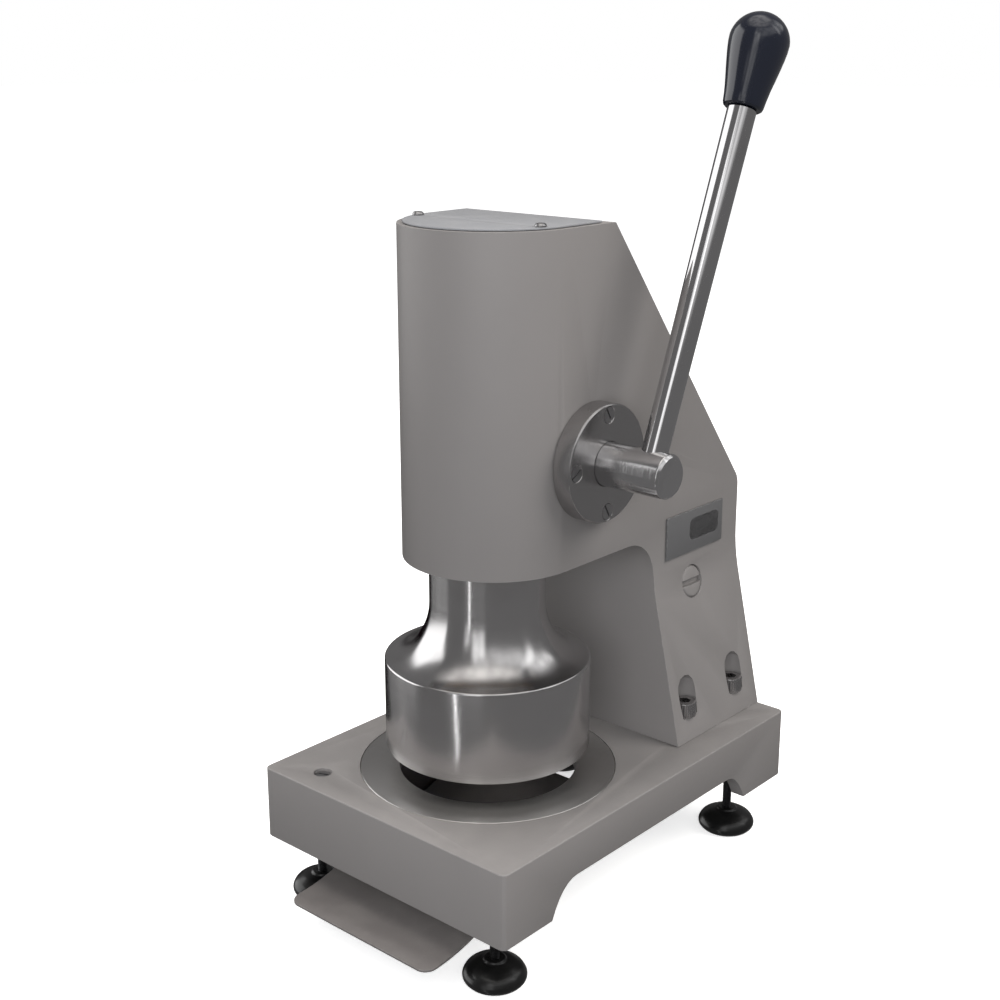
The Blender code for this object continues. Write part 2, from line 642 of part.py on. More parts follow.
def make_frame_fittings(parts):
    """Cover, nameplate, plug and column bolts."""
    inset = 3.2 * MM
    plan = nose_outline(HEAD_HALF - inset, HEAD_BACK - 9 * MM)
    low = HEAD_TOP + GAP
    cover = extruded("top_cover", [plan], "Z", low, low + COVER_THICK)
    for word, side in SIDES.items():
        place = cover_screw_place(side)
        cover = cut(cover, cylinder("hole", 2.1 * MM, 430 * MM, 440 * MM, place, segments=12))
        seat = low + COVER_THICK + GAP
        screw = cylinder("cover_screw_" + word, 3.6 * MM, seat, seat + 1.8 * MM, place, segments=20,
                         tip_radius=2.5 * MM)
        screw = join(screw, cylinder("shank", 1.8 * MM, 422 * MM, seat + 1 * MM, place, segments=12))
        parts["cover_screw_" + word] = ("steel", screw)
    parts["top_cover"] = ("cover", cover)
    face = HEAD_HALF + GAP
    plate = box("nameplate", (face, 109.5 * MM, 208.7 * MM), (face + 1.2 * MM, 173.5 * MM, 237.5 * MM))
    parts["nameplate"] = ("plate", plate)
    plug = cylinder("side_plug", PLUG_RADIUS, -10 * MM, 0.8 * MM, segments=24)
    plug = cut(plug, box("slot", (-2.2 * MM, -14 * MM, -2.4 * MM), (2.2 * MM, 14 * MM, 2 * MM)))
    parts["side_plug"] = ("paint", moved(plug, side_plug_frame()))
    for word, side in SIDES.items():
        for end, y in BOLT_YS.items():
            name = "column_bolt_" + end + "_" + word
            place, seat, length = (side * BOLT_X, y), BOLT_SEAT + GAP, BOLT_SEAT - 77 * MM
            bolt = socket_screw(name, 5.0 * MM, 8.0 * MM, 10 * MM, seat, length, place, 1, 20)
            parts[name] = ("steel", bolt)


# ---- bearings and guides inside the head ----
def spun_along_x(thing):
    """Turn a shape made about Z so that +Z points along +X, on the shaft's axis."""
    turn = Matrix.Translation((0.0, SHAFT_Y, SHAFT_Z)) @ Matrix.Rotation(math.pi / 2, 4, "Y")
    return moved(thing, turn)


def make_bearings(parts):
    """Right flange with four slotted screws, and the closed left cap with three."""
    inner = HEAD_HALF - 9 * MM
    outer = HEAD_HALF + FLANGE_THICK
    bore = SHAFT_RADIUS + 0.15 * MM
    seat = HEAD_HALF + GAP
    profile = [(FLANGE_RADIUS - 1 * MM, outer), (FLANGE_RADIUS, outer - 1 * MM), (FLANGE_RADIUS, seat),
               (25 * MM, seat), (25 * MM, inner), (bore, inner), (bore, outer)]
    flange = spun_along_x(turned("bearing_flange", profile, 40, True))
    for word, place in flange_screw_places().items():
        flange = cut(flange, cylinder("hole", 2.8 * MM, 50 * MM, 80 * MM, place, "X", 12))
        sink = cylinder("sink", 2.6 * MM, outer - 3 * MM, outer + 0.01 * MM, place, "X", 16, 5.4 * MM)
        flange = cut(flange, sink)
        name = "flange_screw_" + word
        parts[name] = ("steel", make_flange_screw(name, place, outer))
    parts["bearing_flange"] = ("polished", flange)
    face = HEAD_HALF + 8 * MM
    end_gap = 62.5 * MM
    bore = JOURNAL_RADIUS + 0.15 * MM
    profile = [(0.0, face), (26 * MM, face), (27 * MM, face - 1 * MM), (27 * MM, seat),
               (20 * MM, seat), (20 * MM, inner), (bore, inner), (bore, end_gap), (0.0, end_gap)]
    cap = moved(spun_along_x(turned("left_bearing_cap", profile, 32)), mirror_x())
    cap.data.flip_normals()
    for word, place in cap_screw_places().items():
        cap = cut(cap, cylinder("hole", 2.3 * MM, -80 * MM, -50 * MM, place, "X", 12))
        name = "cap_screw_" + word
        screw = cylinder(name, 2.9 * MM, -face - 2.4 * MM, -face - GAP, place, "X", 18, 4.0 * MM)
        screw = join(screw, cylinder("shank", 2.0 * MM, -face - 1 * MM, -50 * MM, place, "X", 12))
        parts[name] = ("steel", screw)
    parts["left_bearing_cap"] = ("polished", cap)


def mirror_x():
    """Mirror across the plane X = 0."""
    return Matrix.Diagonal((-1.0, 1.0, 1.0, 1.0))


def make_flange_screw(name, place, outer):
    """Countersunk slotted screw, flush with the flange."""
    y, z = place
    top = outer - 0.2 * MM
    screw = cylinder(name, 2.5 * MM, top - 2.6 * MM, top, place, "X", 16, 5.0 * MM)
    screw = join(screw, cylinder("shank", 2.5 * MM, HEAD_HALF - 9 * MM, top - 2 * MM, place, "X", 12))
    slot = box("slot", (top - 1.3 * MM, -7 * MM, -0.6 * MM), (top + 1 * MM, 7 * MM, 0.6 * MM))
    slot = moved(slot, Matrix.Translation((0.0, y, z)) @ Matrix.Rotation(math.radians(60), 4, "X"))
    return cut(screw, slot)


def make_guides(parts):
    """Neck bush in the head's floor, and the bridge with the upper bush."""
    bore = NECK_RADIUS + 0.1 * MM
    bush = ring("neck_bush", NECK_BUSH_RADIUS, bore, HEAD_LOW + 0.5 * MM, HEAD_FLOOR, 48)
    parts["neck_bush"] = ("bronze", bush)
    plan = nose_outline(HEAD_HALF - WALL - 1 * MM, 36 * MM)
    top = BRIDGE_LOW + BRIDGE_THICK
    bridge = extruded("guide_bridge", [plan], "Z", BRIDGE_LOW, top)
    bridge = cut(bridge, cylinder("bush_bore", 24.3 * MM, 330 * MM, 355 * MM, segments=36))
    for word, side in SIDES.items():
        place = bridge_screw_place(side)
        bridge = cut(bridge, cylinder("hole", 3.3 * MM, 330 * MM, 355 * MM, place, segments=14))
        name = "bridge_screw_" + word
        screw = socket_screw(name, 3.0 * MM, 5.0 * MM, 6 * MM, top + GAP, 24 * MM, place, 1, 16)
        parts[name] = ("steel", screw)
    parts["guide_bridge"] = ("steel", bridge)
    bore, rim, end = ROD_RADIUS + 0.1 * MM, top + 3.3 * MM, BRIDGE_LOW - 2 * MM
    profile = [(28.5 * MM, rim), (28.5 * MM, top + GAP), (24 * MM, top + GAP), (24 * MM, end),
               (bore, end), (bore, rim)]
    parts["upper_bush"] = ("bronze", turned("upper_bush", profile, 36, True))
    spring_low = rim + GAP
    spring = coil("return_spring", 24.5 * MM, 4 * MM, spring_low, ROD_TOP - GAP, 4.5)
    parts["return_spring"] = ("spring", spring)


# ---- punch and ram ----
def make_bell():
    """Bell-shaped punch holder: deep cup below, concave flare, and a guided neck."""
    rise = NECK_START - BELL_RIM
    run = BELL_RADIUS - NECK_RADIUS
    profile = [(NECK_RADIUS, NECK_TOP), (NECK_RADIUS, NECK_START)]
    profile += [(BELL_RADIUS - run * math.cos(t), NECK_START - rise * math.sin(t))
                for t in (math.radians(a) for a in (20, 40, 60, 78))]
    bore = SPIGOT_RADIUS + 0.2 * MM
    profile += [(BELL_RADIUS, BELL_RIM), (BELL_RADIUS, BELL_LOW), (CUP_RADIUS, BELL_LOW),
                (CUP_RADIUS, CUP_CEILING), (6.5 * MM, CUP_CEILING), (6.5 * MM, SPIGOT_LOW),
                (bore, SPIGOT_LOW), (bore, NECK_TOP)]
    return turned("punch_bell", profile, 48, True)


def rack_cutter():
    """The metal that milling the rack removes: the flat and the gaps between its teeth."""
    pitch = math.pi * GEAR_MODULE
    pitch_line = SHAFT_Y - PINION_TEETH * GEAR_MODULE / 2
    tip, root = pitch_line + GEAR_MODULE, pitch_line - 1.25 * GEAR_MODULE
    half_tip = pitch / 4 + GEAR_MODULE * math.tan(PRESSURE_ANGLE)
    half_root = pitch / 4 - 1.25 * GEAR_MODULE * math.tan(PRESSURE_ANGLE)
    low, high = SHAFT_Z - 3.5 * pitch, SHAFT_Z + 5.5 * pitch
    outline = [(30 * MM, low), (tip, low)]
    for index in range(-3, 6):
        middle = SHAFT_Z + index * pitch
        outline += [(tip, middle - half_tip), (root, middle - half_root), (root, middle + half_root),
                    (tip, middle + half_tip)]
    outline += [(tip, high), (30 * MM, high)]
    return extruded("rack_cutter", [outline], "X", -30 * MM, 30 * MM)


def make_rod():
    """Ram rod with the rack cut in its back, a spigot into the bell and a threaded top."""
    end = 424 * MM
    tap = SPIGOT_LOW + 2 * MM
    profile = [(0.0, end), (THREAD_RADIUS - 1 * MM, end), (THREAD_RADIUS, end - 1 * MM),
               (THREAD_RADIUS, ROD_TOP), (ROD_RADIUS, ROD_TOP), (ROD_RADIUS, NECK_TOP + GAP),
               (SPIGOT_RADIUS, NECK_TOP + GAP), (SPIGOT_RADIUS, tap),
               (6.3 * MM, tap), (6.3 * MM, 228 * MM), (0.0, 228 * MM)]
    rod = turned("rack_rod", profile, 32)
    return cut(rod, rack_cutter())


def make_ram(parts):
    """Everything that goes up and down."""
    parts["punch_bell"] = ("polished", make_bell())
    parts["rack_rod"] = ("steel", make_rod())
    low = BELL_LOW - BLADE_DROP
    top = CUP_CEILING - GAP
    profile = [(BLADE_RADIUS, top), (BLADE_RADIUS, low), (BLADE_RADIUS - 0.4 * MM, low),
               (52 * MM, low + 7 * MM), (52 * MM, top)]
    parts["ring_blade"] = ("steel", turned("ring_blade", profile, 48, True))
    pad = cylinder("ejector_pad", 51.2 * MM, low + 1.5 * MM, 131.5 * MM, segments=32)
    parts["ejector_pad"] = ("rubber", pad)
    bolt = socket_screw("punch_bolt", 6.0 * MM, 9.0 * MM, 12 * MM, top, 80 * MM, (0.0, 0.0), -1, 16)
    parts["punch_bolt"] = ("steel", bolt)
    collar = ring("spring_collar", 29 * MM, 10.3 * MM, ROD_TOP + GAP, 411 * MM, 28)
    parts["spring_collar"] = ("steel", collar)
    nut = cylinder("rod_nut", 17.3 * MM, 411 * MM + GAP, 420 * MM, segments=6)
    nut = cut(nut, cylinder("nut_bore", 10.25 * MM, 405 * MM, 430 * MM, segments=24))
    parts["rod_nut"] = ("steel", nut)


# ---- lever, shaft and pinion ----
def involute_flank(base, start, end, steps):
    """Radius and polar angle along an involute, from one radius to another."""
    points = []
    for index in range(steps + 1):
        radius = start + (end - start) * index / steps
        roll = math.sqrt(max(0.0, (radius / base) ** 2 - 1.0))
        points.append((radius, roll - math.atan(roll)))
    return points


def pinion_outline():
    """Spur gear outline with a tooth centred on the -Y side, as (y, z) points about its own axis."""
    pitch_radius = PINION_TEETH * GEAR_MODULE / 2
    base = pitch_radius * math.cos(PRESSURE_ANGLE)
    root = pitch_radius - 1.2 * GEAR_MODULE
    tip = pitch_radius + 0.95 * GEAR_MODULE
    thin = BACKLASH / pitch_radius / 2
    half = math.pi / 2 / PINION_TEETH - thin + math.tan(PRESSURE_ANGLE) - PRESSURE_ANGLE
    flank = involute_flank(base, base, tip, 3)
    outline = []
    for tooth in range(PINION_TEETH):
        middle = math.pi + tooth * math.tau / PINION_TEETH
        rising = [(root, middle - half - 0.01)] + [(r, middle - half + a) for r, a in flank]
        falling = [(r, middle + half - a) for r, a in reversed(flank)] + [(root, middle + half + 0.01)]
        outline += [(r * math.cos(t), r * math.sin(t)) for r, t in rising + falling]
    return outline


def make_pinion():
    """Pinion on the shaft's thin journal, with a keyway in its bore."""
    outline = [(y + SHAFT_Y, z + SHAFT_Z) for y, z in pinion_outline()]
    pinion = extruded("rack_pinion", [outline], "X", -12 * MM, 13.7 * MM)
    bore = cylinder("bore", JOURNAL_RADIUS + 0.1 * MM, -20 * MM, 20 * MM, (SHAFT_Y, SHAFT_Z), "X", 32)
    pinion = cut(pinion, bore)
    return cut(pinion, box("keyway", (-20 * MM, SHAFT_Y - 2.1 * MM, SHAFT_Z),
                           (20 * MM, SHAFT_Y + 2.1 * MM, SHAFT_Z + 11.6 * MM)))


def lever_matrix():
    """Carries +Z onto the lever bar's own axis, from the shaft's axis."""
    return Matrix.Translation((LEVER_X, SHAFT_Y, SHAFT_Z)) @ Matrix.Rotation(-LEVER_LEAN, 4, "X")


def make_lever(parts):
    """Shaft, pinion, key, collar, bar and knob: they turn together."""
    profile = [(0.0, SHAFT_END), (SHAFT_RADIUS - 2 * MM, SHAFT_END), (SHAFT_RADIUS, SHAFT_END - 2 * MM),
               (SHAFT_RADIUS, 14 * MM), (JOURNAL_RADIUS, 14 * MM), (JOURNAL_RADIUS, -61 * MM),
               (JOURNAL_RADIUS - 1 * MM, -62 * MM), (0.0, -62 * MM)]
    shaft = spun_along_x(turned("lever_shaft", profile, 36))
    bar_hole = cylinder("bar_hole", LEVER_ROOT_RADIUS + 0.2 * MM, -9 * MM, 30 * MM, segments=32)
    shaft = cut(shaft, moved(bar_hole, lever_matrix()))
    shaft = cut(shaft, box("key_seat", (-11.5 * MM, SHAFT_Y - 2.1 * MM, SHAFT_Z + 7.4 * MM),
                           (13.5 * MM, SHAFT_Y + 2.1 * MM, SHAFT_Z + 12 * MM)))
    parts["lever_shaft"] = ("polished", shaft)
    parts["rack_pinion"] = ("steel", make_pinion())
    key = box("pinion_key", (-11 * MM, SHAFT_Y - 2.0 * MM, SHAFT_Z + 7.6 * MM),
              (13 * MM, SHAFT_Y + 2.0 * MM, SHAFT_Z + 11.4 * MM))
    parts["pinion_key"] = ("steel", key)
    collar = turned("pinion_collar", [(15 * MM, 24 * MM), (15 * MM, 12.3 * MM), (10.15 * MM, 12.3 * MM),
                                      (10.15 * MM, 24 * MM)], 24, True)
    collar = moved(spun_along_x(collar), mirror_x())
    collar.data.flip_normals()
    parts["pinion_collar"] = ("steel", collar)
    knob_start = LEVER_LENGTH
    bar_end = knob_start + 30 * MM
    shoulder = knob_start - GAP
    profile = [(0.0, bar_end), (5.9 * MM, bar_end), (5.9 * MM, shoulder), (LEVER_TIP_RADIUS, shoulder),
               (LEVER_ROOT_RADIUS, 30 * MM), (LEVER_ROOT_RADIUS, -8.7 * MM), (0.0, -8.7 * MM)]
    parts["lever_bar"] = ("polished", moved(turned("lever_bar", profile, 28), lever_matrix()))
    belly = knob_start + KNOB_LENGTH - KNOB_RADIUS
    profile = [(0.0, knob_start + KNOB_LENGTH)]
    profile += [(KNOB_RADIUS * math.sin(t), belly + KNOB_RADIUS * math.cos(t))
                for t in (math.radians(a) for a in (22, 45, 68, 90))]
    profile += [(16.4 * MM, belly - 10 * MM), (13.3 * MM, knob_start + 11 * MM),
                (11.4 * MM, knob_start + 1.5 * MM), (10.2 * MM, knob_start), (6.1 * MM, knob_start),
                (6.1 * MM, bar_end + GAP), (0.0, bar_end + GAP)]
    parts["lever_knob"] = ("knob", moved(turned("lever_knob", profile, 28), lever_matrix()))


# ---- finishing ----
ORIGINS = {
    "lever": (0.0, SHAFT_Y, SHAFT_Z),
    "ram": (0.0, 0.0, BASE_TOP),
    "frame": (0.0, 0.0, 0.0),
}
LEVER_NODES = ("lever_shaft", "rack_pinion", "pinion_key", "pinion_collar", "lever_bar", "lever_knob")
RAM_NODES = ("punch_bell", "rack_rod", "ring_blade", "ejector_pad", "punch_bolt", "spring_collar", "rod_nut")


def origin_of(name):
    """The point that a node turns or slides about, from the ram's axis."""
    if name in LEVER_NODES:
        return ORIGINS["lever"]
    if name in RAM_NODES:
        return ORIGINS["ram"]
    for foot, place in foot_places().items():
        if name in ("foot_pad_" + foot, "foot_stud_" + foot):
            return (*place, 0.0)
    return ORIGINS["frame"]


def finish(name, thing, material):
    """Name, colour and shade a node, and set its origin on its own axis."""
    thing.name = name
    thing.data.name = name
    thing.data.materials.clear()
    thing.data.materials.append(material)
    origin = Vector(origin_of(name))
    thing.data.transform(Matrix.Translation(-origin))
    thing.location = origin + Vector((RAM_X, RAM_Y, 0.0))
    thing.data.shade_smooth()
    thing.data.set_sharp_from_angle(angle=math.radians(30.0))


def main():
    """Build the press."""
    for thing in list(bpy.data.objects):
        bpy.data.objects.remove(thing)
    collection = bpy.data.collections.new("punch_press")
    bpy.context.scene.collection.children.link(collection)
    materials = make_materials()
    parts = {}
    parts["base_casting"] = ("paint", make_base())
    parts["frame_casting"] = ("paint", make_frame())
    make_base_fittings(parts)
    make_chute(parts)
    make_frame_fittings(parts)
    make_bearings(parts)
    make_guides(parts)
    make_ram(parts)
    make_lever(parts)
    for name, (material, thing) in parts.items():
        finish(name, thing, materials[material])


if __name__ == "__main__":
    main()
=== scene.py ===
import json
import logging
import math
from collections.abc import Callable
from dataclasses import dataclass, field
from enum import Enum

import bmesh
import bpy
from mathutils import Matrix, Vector

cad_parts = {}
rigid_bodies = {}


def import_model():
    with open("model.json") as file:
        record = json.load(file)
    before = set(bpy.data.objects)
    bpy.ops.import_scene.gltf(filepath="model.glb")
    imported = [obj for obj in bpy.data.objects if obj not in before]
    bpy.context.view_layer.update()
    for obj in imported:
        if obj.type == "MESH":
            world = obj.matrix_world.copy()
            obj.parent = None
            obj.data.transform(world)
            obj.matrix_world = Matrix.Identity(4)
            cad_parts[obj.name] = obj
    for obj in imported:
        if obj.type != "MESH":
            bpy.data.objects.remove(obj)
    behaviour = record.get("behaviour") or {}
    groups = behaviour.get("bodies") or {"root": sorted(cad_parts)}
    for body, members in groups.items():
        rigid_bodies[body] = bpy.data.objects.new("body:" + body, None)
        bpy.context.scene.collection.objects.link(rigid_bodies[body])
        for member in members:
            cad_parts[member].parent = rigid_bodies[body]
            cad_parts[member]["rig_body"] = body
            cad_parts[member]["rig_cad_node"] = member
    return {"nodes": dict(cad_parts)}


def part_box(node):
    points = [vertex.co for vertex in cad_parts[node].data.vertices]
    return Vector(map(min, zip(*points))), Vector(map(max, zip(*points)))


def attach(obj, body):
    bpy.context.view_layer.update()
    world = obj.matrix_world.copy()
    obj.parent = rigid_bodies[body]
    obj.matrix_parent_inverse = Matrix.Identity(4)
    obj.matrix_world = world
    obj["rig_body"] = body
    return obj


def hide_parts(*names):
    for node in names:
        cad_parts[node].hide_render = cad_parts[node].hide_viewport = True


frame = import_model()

LOG = logging.getLogger("punch_press")
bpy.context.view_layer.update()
MM = 0.001
# Points closer than this are one point.
WELD = 0.002 * MM
# On copied castings, flatter edges are dissolved and sharper ones rounded.
FLAT, SHARP = math.radians(0.6), math.radians(28)
# Edges past this many degrees stay sharp in the shading: turned pieces, then cast and built ones.
SOFT, CRISP = 30.0, 35.0
CORNERS = ("front_left", "front_right", "rear_left", "rear_right")

Piece, Material = bpy.types.Object, bpy.types.Material
Node, NodeTree, Socket = bpy.types.Node, bpy.types.NodeTree, bpy.types.NodeSocket
Point = tuple[float, float]
Triple = tuple[float, float, float]


class Body(Enum):
    """The bodies of the press: the frame and what moves on it."""

    FRAME = "frame"
    RAM = "ram"
    LEVER = "lever"
    FOOT_FRONT_LEFT = "foot_front_left"
    FOOT_FRONT_RIGHT = "foot_front_right"
    FOOT_REAR_LEFT = "foot_rear_left"
    FOOT_REAR_RIGHT = "foot_rear_right"


class Slot(Enum):
    """The finishes that the record names."""

    PAINT = "grey_paint"
    COVER = "cover_paint"
    POLISHED = "polished_steel"
    MACHINED = "machined_steel"
    BRONZE = "bronze"
    RUBBER = "black_rubber"
    PLASTIC = "black_plastic"
    SPRING = "spring_steel"
    PLATE = "nameplate"


# ---------------------------------------------------------------- shader groups
class Tree:
    """A node tree that is being wired."""

    def __init__(self, tree: NodeTree) -> None:
        """Keep the tree."""
        self.tree = tree

    def add(self, kind: str, **settings: object) -> Node:
        """Add a node.

        Args:
            kind: The node's type without its ShaderNode prefix.
            settings: Properties of the node, such as its operation.

        Returns:
            The new node.
        """
        node = self.tree.nodes.new(kind if kind.startswith("NodeGroup") else "ShaderNode" + kind)
        for name, value in settings.items():
            setattr(node, name, value)
        return node

    def wire(self, source: object, target: Socket) -> None:
        """Link an output, or set a plain value, on an input.

        Args:
            source: An output or a plain value.
            target: The input.
        """
        if isinstance(source, Socket):
            self.tree.links.new(source, target)
        else:
            target.default_value = source

    def sum(self, operation: str, *values: object, clamp: bool = False) -> Socket:
        """Do arithmetic.

        Args:
            operation: The Math node's operation.
            values: Numbers or outputs that it works on.
            clamp: Whether the result stays from 0 to 1.

        Returns:
            The output that holds the result.
        """
        node = self.add("Math", operation=operation, use_clamp=clamp)
        for index, value in enumerate(values):
            self.wire(value, node.inputs[index])
        return node.outputs[0]

    def span(self, value: object, low: object, high: object, start: object = 0.0, end: object = 1.0,
             smooth: bool = True) -> Socket:
        """Map a value from one range to another, clamped at both ends.

        Args:
            value: What is mapped.
            low: The value that gives start.
            high: The value that gives end.
            start: The result at low.
            end: The result at high.
            smooth: Whether the change eases in and out.

        Returns:
            The mapped value.
        """
        node = self.add("MapRange", interpolation_type="SMOOTHSTEP" if smooth else "LINEAR")
        for index, item in enumerate((value, low, high, start, end)):
            self.wire(item, node.inputs[index])
        return node.outputs[0]

    def noise(self, vector: object, scale: float, detail: float = 2.0, rough: float = 0.5) -> Socket:
        """Noise at a scale per metre.

        Args:
            vector: Where it is read.
            scale: Cells per metre.
            detail: Octaves.
            rough: How strong the fine octaves are.

        Returns:
            The noise, around 0.5.
        """
        node = self.add("TexNoise")
        self.wire(vector, node.inputs["Vector"])
        node.inputs["Scale"].default_value = scale
        node.inputs["Detail"].default_value = detail
        node.inputs["Roughness"].default_value = rough
        return node.outputs["Fac"]

    def mix(self, amount: object, first: object, second: object) -> Socket:
        """Mix two colours.

        Args:
            amount: 0 for the first, 1 for the second.
            first: A colour or output.
            second: A colour or output.

        Returns:
            The mixed colour.
        """
        node = self.add("Mix", data_type="RGBA")
        self.wire(amount, node.inputs["Factor"])
        self.wire(first, node.inputs["A"])
        self.wire(second, node.inputs["B"])
        return node.outputs["Result"]


def new_group(name: str, inputs: dict[str, str], outputs: dict[str, str]) -> tuple[Tree, dict, dict]:
    """Start a shader node group.

    Args:
        name: The group's name.
        inputs: Socket names and their types.
        outputs: Socket names and their types.

    Returns:
        The tree, the inputs inside it and the outputs inside it, both by name.
    """
    group = bpy.data.node_groups.new(name, "ShaderNodeTree")
    for way, sockets in (("INPUT", inputs), ("OUTPUT", outputs)):
        for label, kind in sockets.items():
            group.interface.new_socket(label, in_out=way, socket_type="NodeSocket" + kind)
    tree = Tree(group)
    entry, leave = tree.add("NodeGroupInput"), tree.add("NodeGroupOutput")
    return tree, {k: entry.outputs[k] for k in inputs}, {k: leave.inputs[k] for k in outputs}


class Effects:
    """Surface effects that several finishes share, each one node group."""

    def __init__(self) -> None:
        """Build every group once."""
        self.mottle = self._mottle()
        self.peel = self._peel()
        self.turned = self._turned()
        self.edge_highlight = self._edge_highlight()
        self.dust = self._dust()

    @staticmethod
    def _mottle() -> NodeTree:
        """Slow drift of a colour over a large surface.

        Returns:
            The group.
        """
        sockets = {"Vector": "Vector", "Colour": "Color", "Amount": "Float"}
        tree, inside, leave = new_group("slow_mottle", sockets, {"Colour": "Color"})
        cloud = tree.noise(inside["Vector"], scale=16.0, detail=3.0, rough=0.55)
        drift = tree.sum("MULTIPLY", tree.sum("SUBTRACT", cloud, 0.5), inside["Amount"])
        node = tree.add("HueSaturation")
        tree.wire(tree.sum("ADD", 1.0, drift), node.inputs["Value"])
        tree.wire(inside["Colour"], node.inputs["Color"])
        tree.wire(node.outputs["Color"], leave["Colour"])
        return tree.tree

    @staticmethod
    def _peel() -> NodeTree:
        """Fine skin of sprayed paint over a cast surface: a height and a grain.

        Returns:
            The group.
        """
        patterns = {"Height": "Float", "Grain": "Float"}
        tree, inside, leave = new_group("paint_skin", {"Vector": "Vector"}, patterns)
        fine = tree.noise(inside["Vector"], scale=850.0, detail=2.0)
        broad = tree.noise(inside["Vector"], scale=120.0, detail=3.0)
        height = tree.sum("ADD", tree.sum("MULTIPLY", fine, 0.45), tree.sum("MULTIPLY", broad, 0.9))
        tree.wire(height, leave["Height"])
        tree.wire(tree.noise(inside["Vector"], scale=300.0, detail=4.0, rough=0.6), leave["Grain"])
        return tree.tree

    @staticmethod
    def _turned() -> NodeTree:
        """Lathe marks about local Z: the same all the way round, changing along and outwards.

        Returns:
            The group.
        """
        patterns = {"Marks": "Float", "Bands": "Float"}
        tree, inside, leave = new_group("lathe_marks", {"Vector": "Vector"}, patterns)
        parts = tree.add("SeparateXYZ")
        tree.wire(inside["Vector"], parts.inputs[0])
        squares = [tree.sum("MULTIPLY", parts.outputs[i], parts.outputs[i]) for i in (0, 1)]
        radius = tree.sum("SQRT", tree.sum("ADD", *squares))
        place = tree.add("CombineXYZ")
        tree.wire(radius, place.inputs[0])
        tree.wire(parts.outputs[2], place.inputs[1])
        tree.wire(tree.noise(place.outputs[0], scale=3200.0, detail=2.0, rough=0.6), leave["Marks"])
        tree.wire(tree.noise(place.outputs[0], scale=220.0, detail=2.0, rough=0.5), leave["Bands"])
        return tree.tree

    @staticmethod
    def _edge_highlight() -> NodeTree:
        """Painted highlight on outer edges: a mask that lightens them, broken up by noise.

        Returns:
            The group.
        """
        sockets = {"Vector": "Vector", "Reach": "Float"}
        tree, inside, leave = new_group("painted_edge_highlight", sockets, {"Mask": "Float"})
        rounded = tree.add("Bevel", samples=4)
        tree.wire(inside["Reach"], rounded.inputs["Radius"])
        agree = tree.add("VectorMath", operation="DOT_PRODUCT")
        tree.wire(rounded.outputs["Normal"], agree.inputs[0])
        tree.wire(tree.add("NewGeometry").outputs["Normal"], agree.inputs[1])
        edge = tree.span(agree.outputs["Value"], 0.985, 0.90)
        patch = tree.span(tree.noise(inside["Vector"], scale=180.0, detail=4.0, rough=0.65), 0.42, 0.62)
        tree.wire(tree.sum("MULTIPLY", edge, patch), leave["Mask"])
        return tree.tree

    @staticmethod
    def _dust() -> NodeTree:
        """Thin dust on faces that look up.

        Returns:
            The group.
        """
        tree, inside, leave = new_group("settled_dust", {"Vector": "Vector"}, {"Mask": "Float"})
        parts = tree.add("SeparateXYZ")
        tree.wire(tree.add("NewGeometry").outputs["Normal"], parts.inputs[0])
        up = tree.span(parts.outputs[2], 0.75, 1.0)
        patch = tree.span(tree.noise(inside["Vector"], scale=60.0, detail=5.0, rough=0.7), 0.35, 0.75)
        tree.wire(tree.sum("MULTIPLY", up, patch), leave["Mask"])
        return tree.tree


